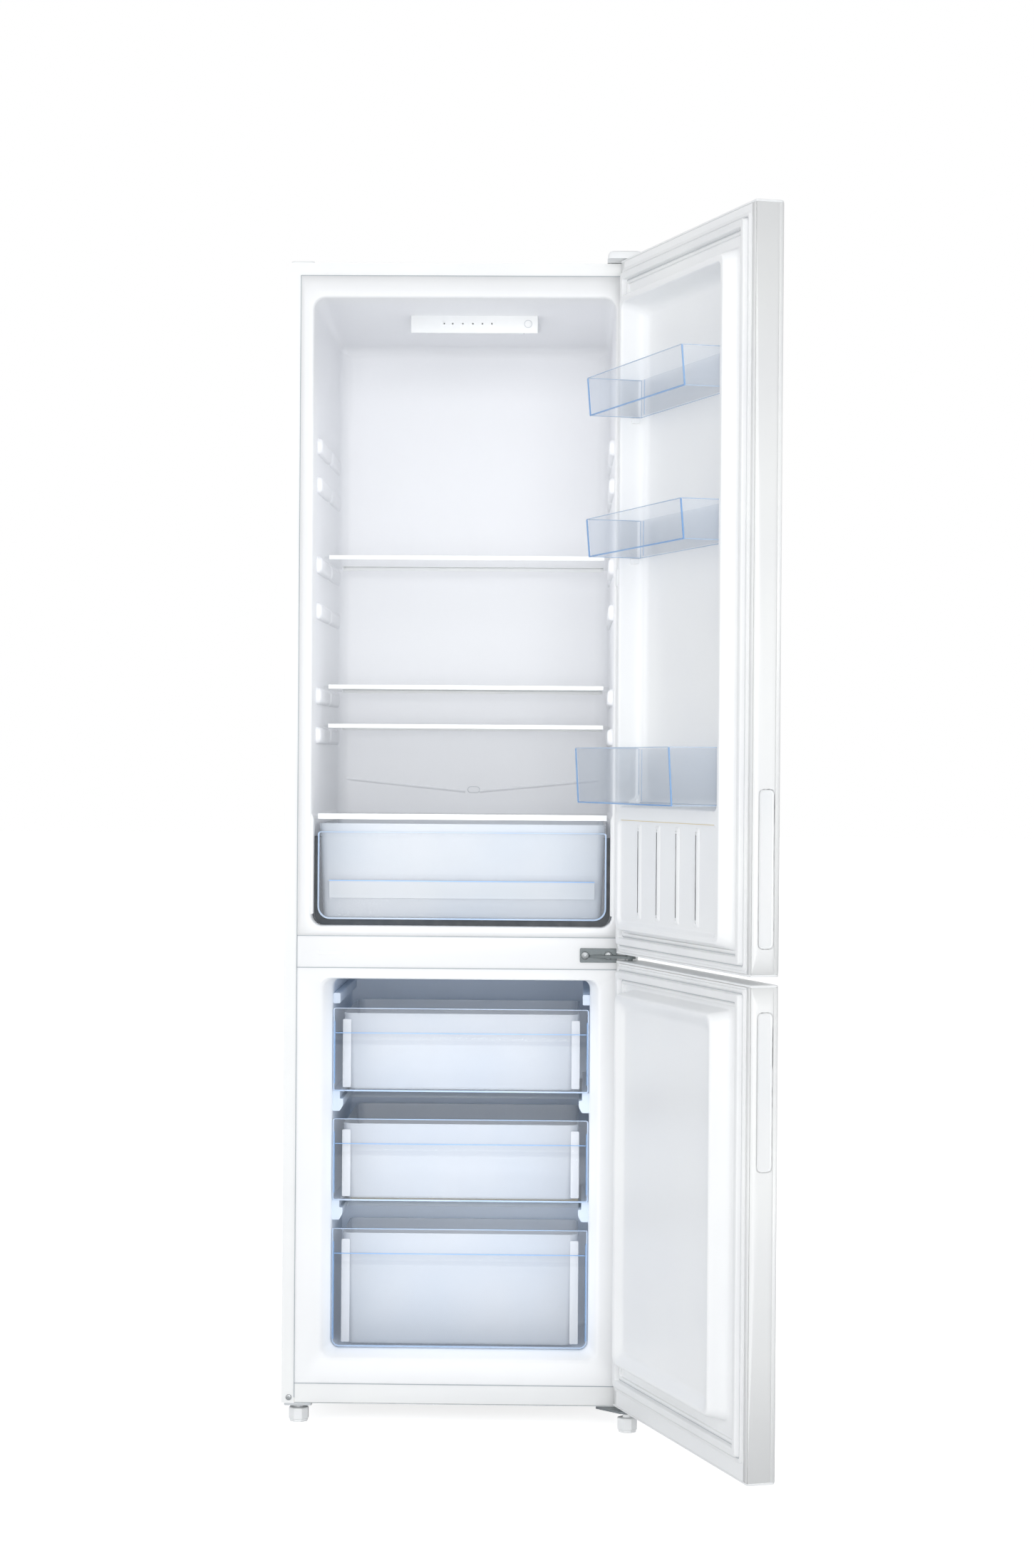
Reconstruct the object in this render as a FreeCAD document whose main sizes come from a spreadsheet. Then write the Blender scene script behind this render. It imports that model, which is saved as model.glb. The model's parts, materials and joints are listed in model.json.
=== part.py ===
import FreeCAD, Part
import os
import re
from math import pi
import Sketcher

# A two-door refrigerator with the freezer at the bottom, in millimetres.
# X runs to the right, Y into the cabinet and Z up; the front edge of the cabinet is y = 0 and the
# floor is z = 0 while a piece is drawn. Doors are drawn shut and turned about their hinge line by
# their placement, and every placement then moves the origin under the middle of the whole object.

SIZES = {
    # Cabinet
    "cabinet_width": 545,
    "cabinet_depth": 500,
    "cabinet_top": 1787,
    "cabinet_base": 31,
    "skin": 1.0,  # painted sheet steel
    "shell": 1.2,  # thermoformed liner wall
    "front_flange": 20,  # steel edge seen round the openings
    "pan_sheet": 1.5,
    "wrapper_bend": 2,
    "base_trim_top": 62,
    "beam_low": 703,  # cover of the beam between the two compartments
    "beam_high": 752,
    "bay_front": 285,  # compressor bay
    "bay_top": 268,

    # Fridge compartment
    "fridge_half": 233,
    "fridge_floor": 766,
    "fridge_ceiling": 1734.5,
    "fridge_depth": 440,
    "fridge_draft": 5,  # walls, floor and ceiling close in by this much at the back
    "fridge_corner": 19,
    "rear_round": 18,
    "ledge_top": 932,  # thicker lower side wall that carries the crisper cover
    "ledge_step": 4,
    "bump_height": 10,
    "bump_reach": 223,  # half width between the tips of the shelf bumps
    "bump_start": 60,
    "bump_split": 246,
    "bump_end": 425,
    "bump_gap": 8,
    "drain_height": 976,
    "drain_rise": 19,
    "drain_radius": 10,
    "gutter_reach": 212,
    "gutter_lip": 5,
    "gutter_depth": 7,

    # Freezer compartment
    "freezer_mouth": 215,
    "freezer_half": 199,
    "freezer_bevel": 25,
    "freezer_corner": 16,
    "freezer_floor": 112,
    "freezer_ceiling": 686,
    "mouth_drop": 14,
    "freezer_depth": 385,
    "step_depth": 235,
    "step_top": 318,
    "rail_tip": 188,
    "rail_lip": 183,
    "rail_start": 38,
    "plate_thick": 4,
    "plate_half": 187,
    "plate_front": 60,
    "plate_back": 372,
    "upper_plate": 497,
    "lower_plate": 328,
    "rail_below": 19,
    "rail_above": 12,
    "top_rail_low": 645,
    "top_rail_high": 661,

    # Doors
    "door_gap": 12,
    "door_thick": 42,
    "door_bend": 6,
    "door_return": 15,
    "cap_thick": 3.5,
    "upper_door_low": 730,
    "lower_door_low": 38,
    "lower_door_high": 719,
    "hinge_inset": 12,  # hinge line from the door's side
    "hinge_setback": 19,  # hinge line from the door's inner face
    "rest_angle": 109,
    "pin_radius": 3.5,
    "pin_fit": 0.05,
    "boss_radius": 7,
    "boss_depth": 9,
    "gasket_side": 30,
    "gasket_end": 24,
    "gasket_thick": 11.7,
    "gasket_round": 4,
    "groove_wide": 1.6,
    "groove_deep": 3,
    "groove_inset": 6,
    "upper_gasket_low": 737.5,
    "upper_gasket_high": 1772,
    "lower_gasket_low": 65,
    "lower_gasket_high": 712.5,
    "grip_near": 11,  # grip recess from the door's inner face
    "grip_far": 32,
    "grip_tall": 216,
    "grip_deep": 28,
    "grip_wall": 1.6,
    "grip_round": 6,
    "upper_grip_low": 769,
    "lower_grip_low": 465,

    # Upper door liner
    "ridge_foot": 221,
    "ridge_crest": 211.5,
    "ridge_inner": 201.5,
    "ridge_high": 24.5,
    "ridge_low_end": 763,
    "ridge_top_end": 1730,
    "ridge_slope": 8,
    "ridge_round": 14,
    "pan_depth": 18,
    "pan_low": 953,
    "pan_high": 1712,
    "pan_round": 8,
    "panel_low": 778,
    "panel_high": 935,
    "panel_sink": 4.5,
    "rib_pitch": 79,
    "rib_wide": 8,
    "rib_low": 792,
    "rib_high": 922,
    "rib_proud": 3,

    # Lower door liner
    "frame_foot": 206.5,
    "frame_crest": 197,
    "frame_inner": 191,
    "frame_high": 30,
    "frame_low_end": 112,
    "frame_top_end": 680,
    "frame_panel": 174.5,
    "frame_sink": 10,

    # Door racks
    "rack_half": 198.5,
    "rack_wall": 2.2,
    "rack_back": 8,
    "rack_out": 79,
    "bottle_out": 94,
    "rack_round": 24,
    "rack_draft": 5,
    "top_rack_low": 1539,
    "middle_rack_low": 1328,
    "rack_tall": 57,
    "bottle_low": 961,
    "bottle_tall": 82,
    "rack_boss": 8,
    "play": 0.3,

    # Glass shelves and crisper
    "shelf_half": 227,
    "shelf_front": 120,
    "shelf_back": 400,
    "shelf_glass": 4,
    "shelf_trim": 6.7,
    "shelf_round": 25,
    "trim_reach": 222,
    "trim_deep": 14,
    "shelf_one": 1346,
    "shelf_two": 1141.8,
    "shelf_three": 1080,
    "spare_one": 1525,
    "spare_two": 1465,
    "spare_three": 1268,
    "cover_front": 15,
    "cover_back": 398,
    "cover_half": 231,
    "cover_taper": 3.5,
    "cover_high": 8.2,
    "crisper_half": 223,
    "crisper_front": 18,
    "crisper_back": 385,
    "crisper_low": 776.6,
    "crisper_high": 925,
    "crisper_wall": 2.5,
    "crisper_round": 19,
    "crisper_lip_low": 809.6,
    "crisper_lip_high": 837,
    "crisper_lip_out": 5,

    # Freezer drawers
    "drawer_half": 198,
    "drawer_front": 28,
    "drawer_wall": 2.4,
    "drawer_back": 335,
    "short_back": 205,
    "drawer_rim": 181,
    "drawer_draft": 7,
    "drawer_round": 14,
    "drawer_drop": 9,
    "grip_top": 38.6,
    "grip_bottom": 55.7,
    "grip_groove": 11,
    "drawer_one_low": 509.7,
    "drawer_one_high": 638.8,
    "drawer_two_low": 340.3,
    "drawer_two_high": 467.2,
    "drawer_three_low": 114,
    "drawer_three_high": 297.2,
    "runner_across": 145,        # runners under the crisper and the drawers
    "runner_wide": 6,
    "pad_pitch": 62,
    "pad_wide": 38,
    "pad_front": 75,
    "pad_deep": 90,
    "pad_high": 3,

    # Control box on the ceiling
    "box_left": 92,
    "box_right": 109.5,
    "box_front": 144,
    "box_back": 330,
    "box_low": 1700,
    "button_across": 94,
    "button_radius": 4,
    "button_press": 1,

    # Hinges, feet and rollers
    "hinge_plate": 3,
    "arm_radius": 8,
    "middle_left": 183,
    "middle_right": 240,
    "middle_low": 714,
    "middle_high": 736,
    "hinge_cover_tall": 13,
    "hinge_cover_left": 218,
    "hinge_cover_back": 50,
    "hinge_cover_front": 45,
    "spare_cap_tall": 3.5,
    "bracket_drop": 3.5,
    "foot_across": 30,
    "foot_tall": 9,
    "stud_radius": 4,
    "nut_radius": 7,
    "nut_tall": 5,
    "left_foot_x": 247,
    "left_foot_y": 20,
    "roller_radius": 14,
    "roller_wide": 18,
    "roller_across": 232,
    "roller_depth": 468,
    "axle_radius": 3,

    # Compressor bay
    "can_across": 45,
    "can_along": 392,
    "can_radius": 78,
    "can_low": 50,
    "can_high": 196,
    "foot_plate_half": 95,
    "foot_plate_deep": 62,
    "grommet_radius": 11,
    "tray_half": 88,
    "tray_deep": 66,
    "tray_tall": 30,
    "pipe_radius": 4,
    "pipe_bend": 18,
}

doc = FreeCAD.newDocument("bottom_freezer_refrigerator")
sheet = doc.addObject("Spreadsheet::Sheet", "sizes")
for row, (name, value) in enumerate(SIZES.items(), 1):
    sheet.set("A%d" % row, name)
    sheet.set("B%d" % row, str(value))
    sheet.setAlias("B%d" % row, name)
doc.recompute()
probe = doc.addObject("App::FeaturePython", "probe")

# Heights and lines that follow from the sizes above.
SIDE = "cabinet_width/2"
INNER = "(cabinet_width/2 - front_flange)"
DOOR_IN = "(-door_gap)"
DOOR_OUT = "(-door_gap - door_thick)"
HINGE_X = "(cabinet_width/2 - hinge_inset)"
HINGE_Y = "(-door_gap - hinge_setback)"
REACH = "(cabinet_width - hinge_inset)"
TIP_X = "(%s + %s*cos(180 - rest_angle) + (door_thick - hinge_setback)*sin(rest_angle))" % (HINGE_X, REACH)
TIP_Y = "(%s - %s*sin(rest_angle) - hinge_setback*cos(180 - rest_angle))" % (HINGE_Y, REACH)
ORIGIN_X = "((%s - %s)/2)" % (TIP_X, SIDE)
ORIGIN_Y = "((%s + cabinet_depth)/2)" % TIP_Y


def ex(text):
    """The expression for a sum that is written with the names of the sheet."""
    return re.sub(
        r"[a-z][a-z0-9_]*",
        lambda word: "sizes." + word.group(0) if word.group(0) in SIZES else word.group(0),
        text,
    )


def val(text):
    """The number that a sum comes to."""
    result = probe.evalExpression(ex(text))
    return float(result.Value if hasattr(result, "Value") else result)


NODES = []


def piece(label, group):
    """A new body for one physical piece of the cabinet or of a door."""
    body = doc.addObject("PartDesign::Body", label)
    body.Label = label
    NODES.append((body, group))
    return body


def plane(body, role):
    """One of the body's own origin planes or axes."""
    return [item for item in body.Origin.OriginFeatures if item.Role == role][0]


def sketch(body, role, height):
    """An empty sketch parallel to an origin plane, at a height along its normal."""
    drawing = body.newObject("Sketcher::SketchObject", body.Label + "_sketch")
    drawing.AttachmentSupport = [(plane(body, role), "")]
    drawing.MapMode = "FlatFace"
    drawing.setExpression("AttachmentOffset.Base.z", ex(height))
    return drawing


def bound(drawing, text, *constraint):
    """Add a dimension and tie it to the sheet."""
    index = drawing.addConstraint(Sketcher.Constraint(*constraint, val(text)))
    drawing.setExpression("Constraints[%d]" % index, ex(text))


def shape(*points):
    """A closed outline of straight lines through the points."""

    def draw(drawing):
        first = drawing.GeometryCount
        spots = [FreeCAD.Vector(val(across), val(up), 0) for across, up in points]
        drawing.addGeometry([Part.LineSegment(a, b) for a, b in zip(spots, spots[1:] + spots[:1])], False)
        for step, (across, up) in enumerate(points):
            line = first + step
            before = first + (step - 1) % len(points)
            drawing.addConstraint(Sketcher.Constraint("Coincident", before, 2, line, 1))
            bound(drawing, across, "DistanceX", -1, 1, line, 1)
            bound(drawing, up, "DistanceY", -1, 1, line, 1)

    return draw


def frame(left, right, low, high, corner=None):
    """A rectangle between two lines across and two lines up, with round corners if asked."""
    if corner is None:
        return shape((left, low), (right, low), (right, high), (left, high))

    def draw(drawing):
        first = drawing.GeometryCount
        x0, x1, y0, y1, bend = (val(text) for text in (left, right, low, high, corner))
        spot = FreeCAD.Vector
        drawing.addGeometry(
            [
                Part.LineSegment(spot(x0 + bend, y0, 0), spot(x1 - bend, y0, 0)),
                Part.LineSegment(spot(x1, y0 + bend, 0), spot(x1, y1 - bend, 0)),
                Part.LineSegment(spot(x1 - bend, y1, 0), spot(x0 + bend, y1, 0)),
                Part.LineSegment(spot(x0, y1 - bend, 0), spot(x0, y0 + bend, 0)),
            ],
            False,
        )
        middles = ((x1 - bend, y0 + bend), (x1 - bend, y1 - bend), (x0 + bend, y1 - bend), (x0 + bend, y0 + bend))
        for turn, (across, up) in enumerate(middles):
            circle = Part.Circle(spot(across, up, 0), spot(0, 0, 1), bend)
            drawing.addGeometry(Part.ArcOfCircle(circle, (turn - 1) * pi / 2, turn * pi / 2), False)
        for turn in range(4):
            arc = first + 4 + turn
            drawing.addConstraint(Sketcher.Constraint("Tangent", first + turn, 2, arc, 1))
            drawing.addConstraint(Sketcher.Constraint("Tangent", arc, 2, first + (turn + 1) % 4, 1))
            drawing.addConstraint(Sketcher.Constraint("Horizontal" if turn % 2 == 0 else "Vertical", first + turn))
        for turn in range(3):
            drawing.addConstraint(Sketcher.Constraint("Equal", first + 4 + turn, first + 5 + turn))
        bound(drawing, corner, "Radius", first + 4)
        bound(drawing, left, "DistanceX", -1, 1, first + 3, 1)
        bound(drawing, right, "DistanceX", -1, 1, first + 1, 1)
        bound(drawing, low, "DistanceY", -1, 1, first, 1)
        bound(drawing, high, "DistanceY", -1, 1, first + 2, 1)

    return draw


def disc(across, up, radius):
    """A circle."""

    def draw(drawing):
        middle = FreeCAD.Vector(val(across), val(up), 0)
        circle = drawing.addGeometry(Part.Circle(middle, FreeCAD.Vector(0, 0, 1), val(radius)), False)
        bound(drawing, radius, "Radius", circle)
        bound(drawing, across, "DistanceX", -1, 1, circle, 3)
        bound(drawing, up, "DistanceY", -1, 1, circle, 3)

    return draw


def extrude(body, role, near, far, outlines, cut):
    """Fill or clear the outlines from one height of the plane's normal to another."""
    drawing = sketch(body, role, near)
    for outline in outlines:
        outline(drawing)
    feature = body.newObject("PartDesign::Pocket" if cut else "PartDesign::Pad", body.Label + "_form")
    feature.Profile = drawing
    feature.setExpression("Length", ex("(%s) - (%s)" % (far, near)))
    feature.Reversed = cut
    body.Tip = feature
    return feature


def along_x(body, near, far, *outlines, cut=False):
    """Extrude outlines drawn in depth and height from one x to a larger one."""
    return extrude(body, "YZ_Plane", near, far, outlines, cut)


def along_y(body, near, far, *outlines, cut=False):
    """Extrude outlines drawn in width and height from one depth to a larger one."""
    return extrude(body, "XZ_Plane", "-(%s)" % far, "-(%s)" % near, outlines, cut)


def along_z(body, near, far, *outlines, cut=False):
    """Extrude outlines drawn in width and depth from one height to a larger one."""
    return extrude(body, "XY_Plane", near, far, outlines, cut)


def loft(body, role, near, near_outline, far, far_outline, cut):
    """Fill or clear the straight-sided form between two outlines on parallel planes."""
    ends = []
    for height, outline in ((near, near_outline), (far, far_outline)):
        drawing = sketch(body, role, height)
        outline(drawing)
        ends.append(drawing)
    kind = "PartDesign::SubtractiveLoft" if cut else "PartDesign::AdditiveLoft"
    feature = body.newObject(kind, body.Label + "_form")
    feature.Profile = ends[0]
    feature.Sections = [ends[1]]
    feature.Ruled = True
    body.Tip = feature
    return feature


def tunnel(body, near, near_outline, far, far_outline, cut=False):
    """A loft that runs into the cabinet, from one depth to another."""
    return loft(body, "XZ_Plane", "-(%s)" % near, near_outline, "-(%s)" % far, far_outline, cut)


def draft_in(body, depth, outline, draft, cut):
    """Fill or clear an outline of the front plane into the cabinet, its walls closing in by a draft."""
    drawing = sketch(body, "XZ_Plane", "0")
    outline(drawing)
    feature = body.newObject("PartDesign::Pocket" if cut else "PartDesign::Pad", body.Label + "_form")
    feature.Profile = drawing
    feature.setExpression("Length", ex(depth))
    feature.Reversed = not cut
    feature.setExpression("TaperAngle", ex("-atan(%s/(%s))" % (draft, depth)))
    body.Tip = feature
    return feature


def upright(body, low, low_outline, high, high_outline, cut=False):
    """A loft that runs up, from one height to another."""
    return loft(body, "XY_Plane", low, low_outline, high, high_outline, cut)


def soften(body, radius, wanted, kind="Fillet"):
    """Round or bevel the edges of the body so far whose bounding box is wanted."""
    doc.recompute()
    base = body.Tip
    names = [
        "Edge%d" % (index + 1)
        for index, edge in enumerate(base.Shape.Edges)
        if wanted(edge.BoundBox)
    ]
    if not names:
        raise ValueError("no edge to round on " + body.Label)
    feature = body.newObject("PartDesign::" + kind, body.Label + "_" + kind.lower())
    feature.Base = (base, names)
    feature.setExpression("Radius" if kind == "Fillet" else "Size", ex(radius))
    body.Tip = feature
    return feature


def mirror(body, features, role="YZ_Plane"):
    """Repeat features on the other side of one of the body's origin planes."""
    feature = body.newObject("PartDesign::Mirrored", body.Label + "_mirrored")
    feature.Originals = features
    feature.MirrorPlane = (plane(body, role), [""])
    body.Tip = feature
    return feature


def near(value, text):
    """Whether a measured place is where a sum says."""
    return abs(value - val(text)) < 0.01


# ---- Cabinet ----------------------------------------------------------------------------------


def make_wrapper():
    """Sheet steel bent over both sides and the top, with the flange that the doors meet."""
    body = piece("cabinet_wrapper", "cabinet")
    along_y(body, "0", "cabinet_depth", frame("-" + SIDE, SIDE, "cabinet_base", "cabinet_top"))
    along_y(
        body, "skin", "cabinet_depth + skin",
        frame("skin - " + SIDE, SIDE + " - skin", "cabinet_base - skin", "cabinet_top - skin"),
        cut=True,
    )
    along_y(
        body, "-skin", "2*skin",
        frame("-" + INNER, INNER, "cabinet_base - skin", "cabinet_top - front_flange"),
        cut=True,
    )
    soften(body, "wrapper_bend", lambda box: near(box.ZMin, "cabinet_top") and box.XLength < 1 and box.YLength > 9)


def fridge_void(body, grow, cut):
    """The fridge compartment's space, or the outside of its liner when it is grown."""
    draft_in(
        body, "fridge_depth + " + grow,
        frame(
            "-fridge_half - " + grow, "fridge_half + " + grow,
            "fridge_floor - " + grow, "fridge_ceiling + " + grow, "fridge_corner + " + grow,
        ),
        "fridge_draft", cut,
    )


def freezer_void(body, grow, cut):
    """The freezer compartment's space, stepped over the compressor bay and flared at its mouth."""
    for depth, floor in (("step_depth", "freezer_floor"), ("freezer_depth", "step_top")):
        along_y(
            body, "freezer_bevel", depth + " + " + grow,
            frame(
                "-freezer_half - " + grow, "freezer_half + " + grow,
                floor + " - " + grow, "freezer_ceiling + " + grow, "freezer_corner/4 + " + grow,
            ),
            cut=cut,
        )
    tunnel(
        body, "0",
        frame(
            "-freezer_mouth - " + grow, "freezer_mouth + " + grow,
            "freezer_floor - mouth_drop - " + grow, "freezer_ceiling + " + grow, "freezer_corner + " + grow,
        ),
        "freezer_bevel",
        frame(
            "-freezer_half - " + grow, "freezer_half + " + grow,
            "freezer_floor - " + grow, "freezer_ceiling + " + grow, "freezer_corner/4 + " + grow,
        ),
        cut,
    )


def make_foam():
    """The foamed-in insulation of the cabinet, open at both compartments and the compressor bay."""
    body = piece("cabinet_foam", "cabinet")
    along_y(
        body, "shell", "cabinet_depth - skin",
        frame("skin - " + SIDE, SIDE + " - skin", "cabinet_base + pan_sheet", "cabinet_top - skin"),
    )
    fridge_void(body, "shell", True)
    freezer_void(body, "shell", True)
    along_x(
        body, "-" + SIDE, SIDE,
        frame("bay_front", "cabinet_depth", "cabinet_base", "bay_top"),
        cut=True,
    )
    along_y(body, "fridge_depth", "fridge_depth + 2*drain_radius", disc("0", "drain_height", "drain_radius"), cut=True)


def shelf_levels():
    """Heights of the undersides that the moulded side bumps carry."""
    below = " - (shelf_trim + shelf_glass)/2 - play"
    return ["shelf_one" + below, "shelf_two" + below, "shelf_three" + below, "spare_one", "spare_two", "spare_three"]


def make_fridge_liner():
    """Thermoformed liner: drafted walls, shelf bumps, crisper ledges and the drain gutter."""
    body = piece("fridge_liner", "cabinet")
    along_y(body, "0", "shell", frame("-" + INNER, INNER, "beam_high", "cabinet_top - front_flange"))
    fridge_void(body, "shell", False)
    fridge_void(body, "0", True)
    soften(body, "rear_round", lambda box: box.YMin > val("fridge_depth") - 0.5 and box.YMax < val("fridge_depth") + 0.01)
    sides = []
    for level in shelf_levels():
        drawing = sketch(body, "YZ_Plane", "-bump_reach")
        for start, end in (("bump_start", "bump_split - bump_gap"), ("bump_split + bump_gap", "bump_end")):
            frame(start, end, level + " - bump_height", level, "bump_height/2 - 0.5")(drawing)
        bumps = body.newObject("PartDesign::Pad", "shelf_bumps")
        bumps.Profile = drawing
        bumps.Type = "UpToFirst"
        bumps.Reversed = True
        bumps.Refine = False
        body.Tip = bumps
        sides.append(bumps)
    ledge = tunnel(
        body, "shell",
        shape(
            ("ledge_step - fridge_half", "fridge_floor + fridge_corner"),
            ("ledge_step - fridge_half", "ledge_top"),
            ("-fridge_half - shell/2", "ledge_top"),
            ("-fridge_half - shell/2", "fridge_floor + fridge_corner"),
        ),
        "fridge_depth - rear_round",
        shape(
            ("ledge_step + fridge_draft - fridge_half", "fridge_floor + fridge_corner"),
            ("ledge_step + fridge_draft - fridge_half", "ledge_top"),
            ("fridge_draft - fridge_half - shell/2", "ledge_top"),
            ("fridge_draft - fridge_half - shell/2", "fridge_floor + fridge_corner"),
        ),
    )
    sides.append(ledge)
    mirror(body, sides).Refine = False
    lip = along_y(
        body, "fridge_depth - gutter_depth", "fridge_depth + shell/2",
        shape(
            ("-gutter_reach", "drain_height + drain_rise"),
            ("-drain_radius", "drain_height - drain_radius/2"),
            ("-drain_radius", "drain_height - drain_radius/2 - gutter_lip"),
            ("-gutter_reach", "drain_height + drain_rise - gutter_lip"),
        ),
    )
    mirror(body, [lip])
    along_y(body, "fridge_depth - gutter_depth", "fridge_depth + 2*shell", disc("0", "drain_height", "drain_radius"), cut=True)


def make_freezer_liner():
    """Thermoformed liner of the freezer with its side rails and the step over the bay."""
    body = piece("freezer_liner", "cabinet")
    along_y(body, "0", "shell", frame("-" + INNER, INNER, "base_trim_top", "beam_low"))
    freezer_void(body, "shell", False)
    freezer_void(body, "0", True)
    rails = []
    ends = {"upper_plate": "plate_back", "lower_plate": "step_depth - 2*shell"}
    for level, end in ends.items():
        rails.append(
            along_y(
                body, "rail_start", end,
                shape(
                    ("-rail_tip", level + " + rail_above"),
                    ("-rail_tip", level),
                    ("-rail_lip", level),
                    ("-rail_lip", level + " - rail_below/2"),
                    ("-rail_tip", level + " - rail_below"),
                    ("-freezer_half - shell/2", level + " - rail_below"),
                    ("-freezer_half - shell/2", level + " + rail_above"),
                ),
            )
        )
    rails.append(
        along_y(
            body, "rail_start", "plate_back",
            shape(
                ("-rail_tip", "top_rail_high"),
                ("-rail_tip", "top_rail_low"),
                ("-freezer_half - shell/2", "top_rail_low"),
                ("-freezer_half - shell/2", "top_rail_high"),
            ),
        )
    )
    mirror(body, rails)
    along_y(
        body, "plate_back - rail_below", "freezer_depth + shell/2",
        frame("-rail_lip*0.8", "rail_lip*0.8", "step_top - shell/2", "lower_plate"),
    )


def make_shell_panels():
    """Flat rear panel, front covers and the stepped base pan with its roller brackets."""
    body = piece("rear_panel", "cabinet")
    along_y(
        body, "cabinet_depth - skin", "cabinet_depth",
        frame("skin - " + SIDE, SIDE + " - skin", "bay_top", "cabinet_top - skin"),
    )

    body = piece("beam_cover", "cabinet")
    along_y(body, "0", "shell", frame("-" + INNER, INNER, "beam_low", "beam_high"))

    body = piece("base_trim", "cabinet")
    along_y(body, "0", "shell", frame("-" + INNER, INNER, "cabinet_base + pan_sheet", "base_trim_top"))

    body = piece("base_pan", "cabinet")
    along_x(
        body, "skin - " + SIDE, SIDE + " - skin",
        shape(
            ("skin", "cabinet_base"),
            ("cabinet_depth", "cabinet_base"),
            ("cabinet_depth", "cabinet_base + pan_sheet"),
            ("bay_front + pan_sheet", "cabinet_base + pan_sheet"),
            ("bay_front + pan_sheet", "bay_top - pan_sheet"),
            ("cabinet_depth", "bay_top - pan_sheet"),
            ("cabinet_depth", "bay_top"),
            ("bay_front", "bay_top"),
            ("bay_front", "cabinet_base + pan_sheet"),
            ("skin", "cabinet_base + pan_sheet"),
        ),
    )
    along_z(
        body, "cabinet_base - bracket_drop", "cabinet_base",
        frame("-left_foot_x - 3*nut_radius", "3*nut_radius - left_foot_x", "0", "2*left_foot_y"),
    )
    along_z(
        body, "cabinet_base - 2*bracket_drop", "cabinet_base + 2*bracket_drop",
        disc("-left_foot_x", "left_foot_y", "stud_radius + pin_fit"),
        cut=True,
    )
    plates = []
    for offset in ("-roller_wide/2 - 1 - pan_sheet", "roller_wide/2 + 1"):
        plates.append(
            along_x(
                body, "%s - roller_across" % offset, "%s - roller_across + pan_sheet" % offset,
                shape(
                    ("roller_depth - roller_radius", "cabinet_base"),
                    ("roller_depth - 2*axle_radius", "roller_radius - 2*axle_radius"),
                    ("roller_depth + 2*axle_radius", "roller_radius - 2*axle_radius"),
                    ("roller_depth + roller_radius", "cabinet_base"),
                ),
            )
        )
    plates.append(
        along_x(
            body, "-roller_across - roller_wide/2 - 2*pan_sheet", "roller_wide/2 + 2*pan_sheet - roller_across",
            disc("roller_depth", "roller_radius", "axle_radius"),
        )
    )
    mirror(body, plates)


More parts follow.
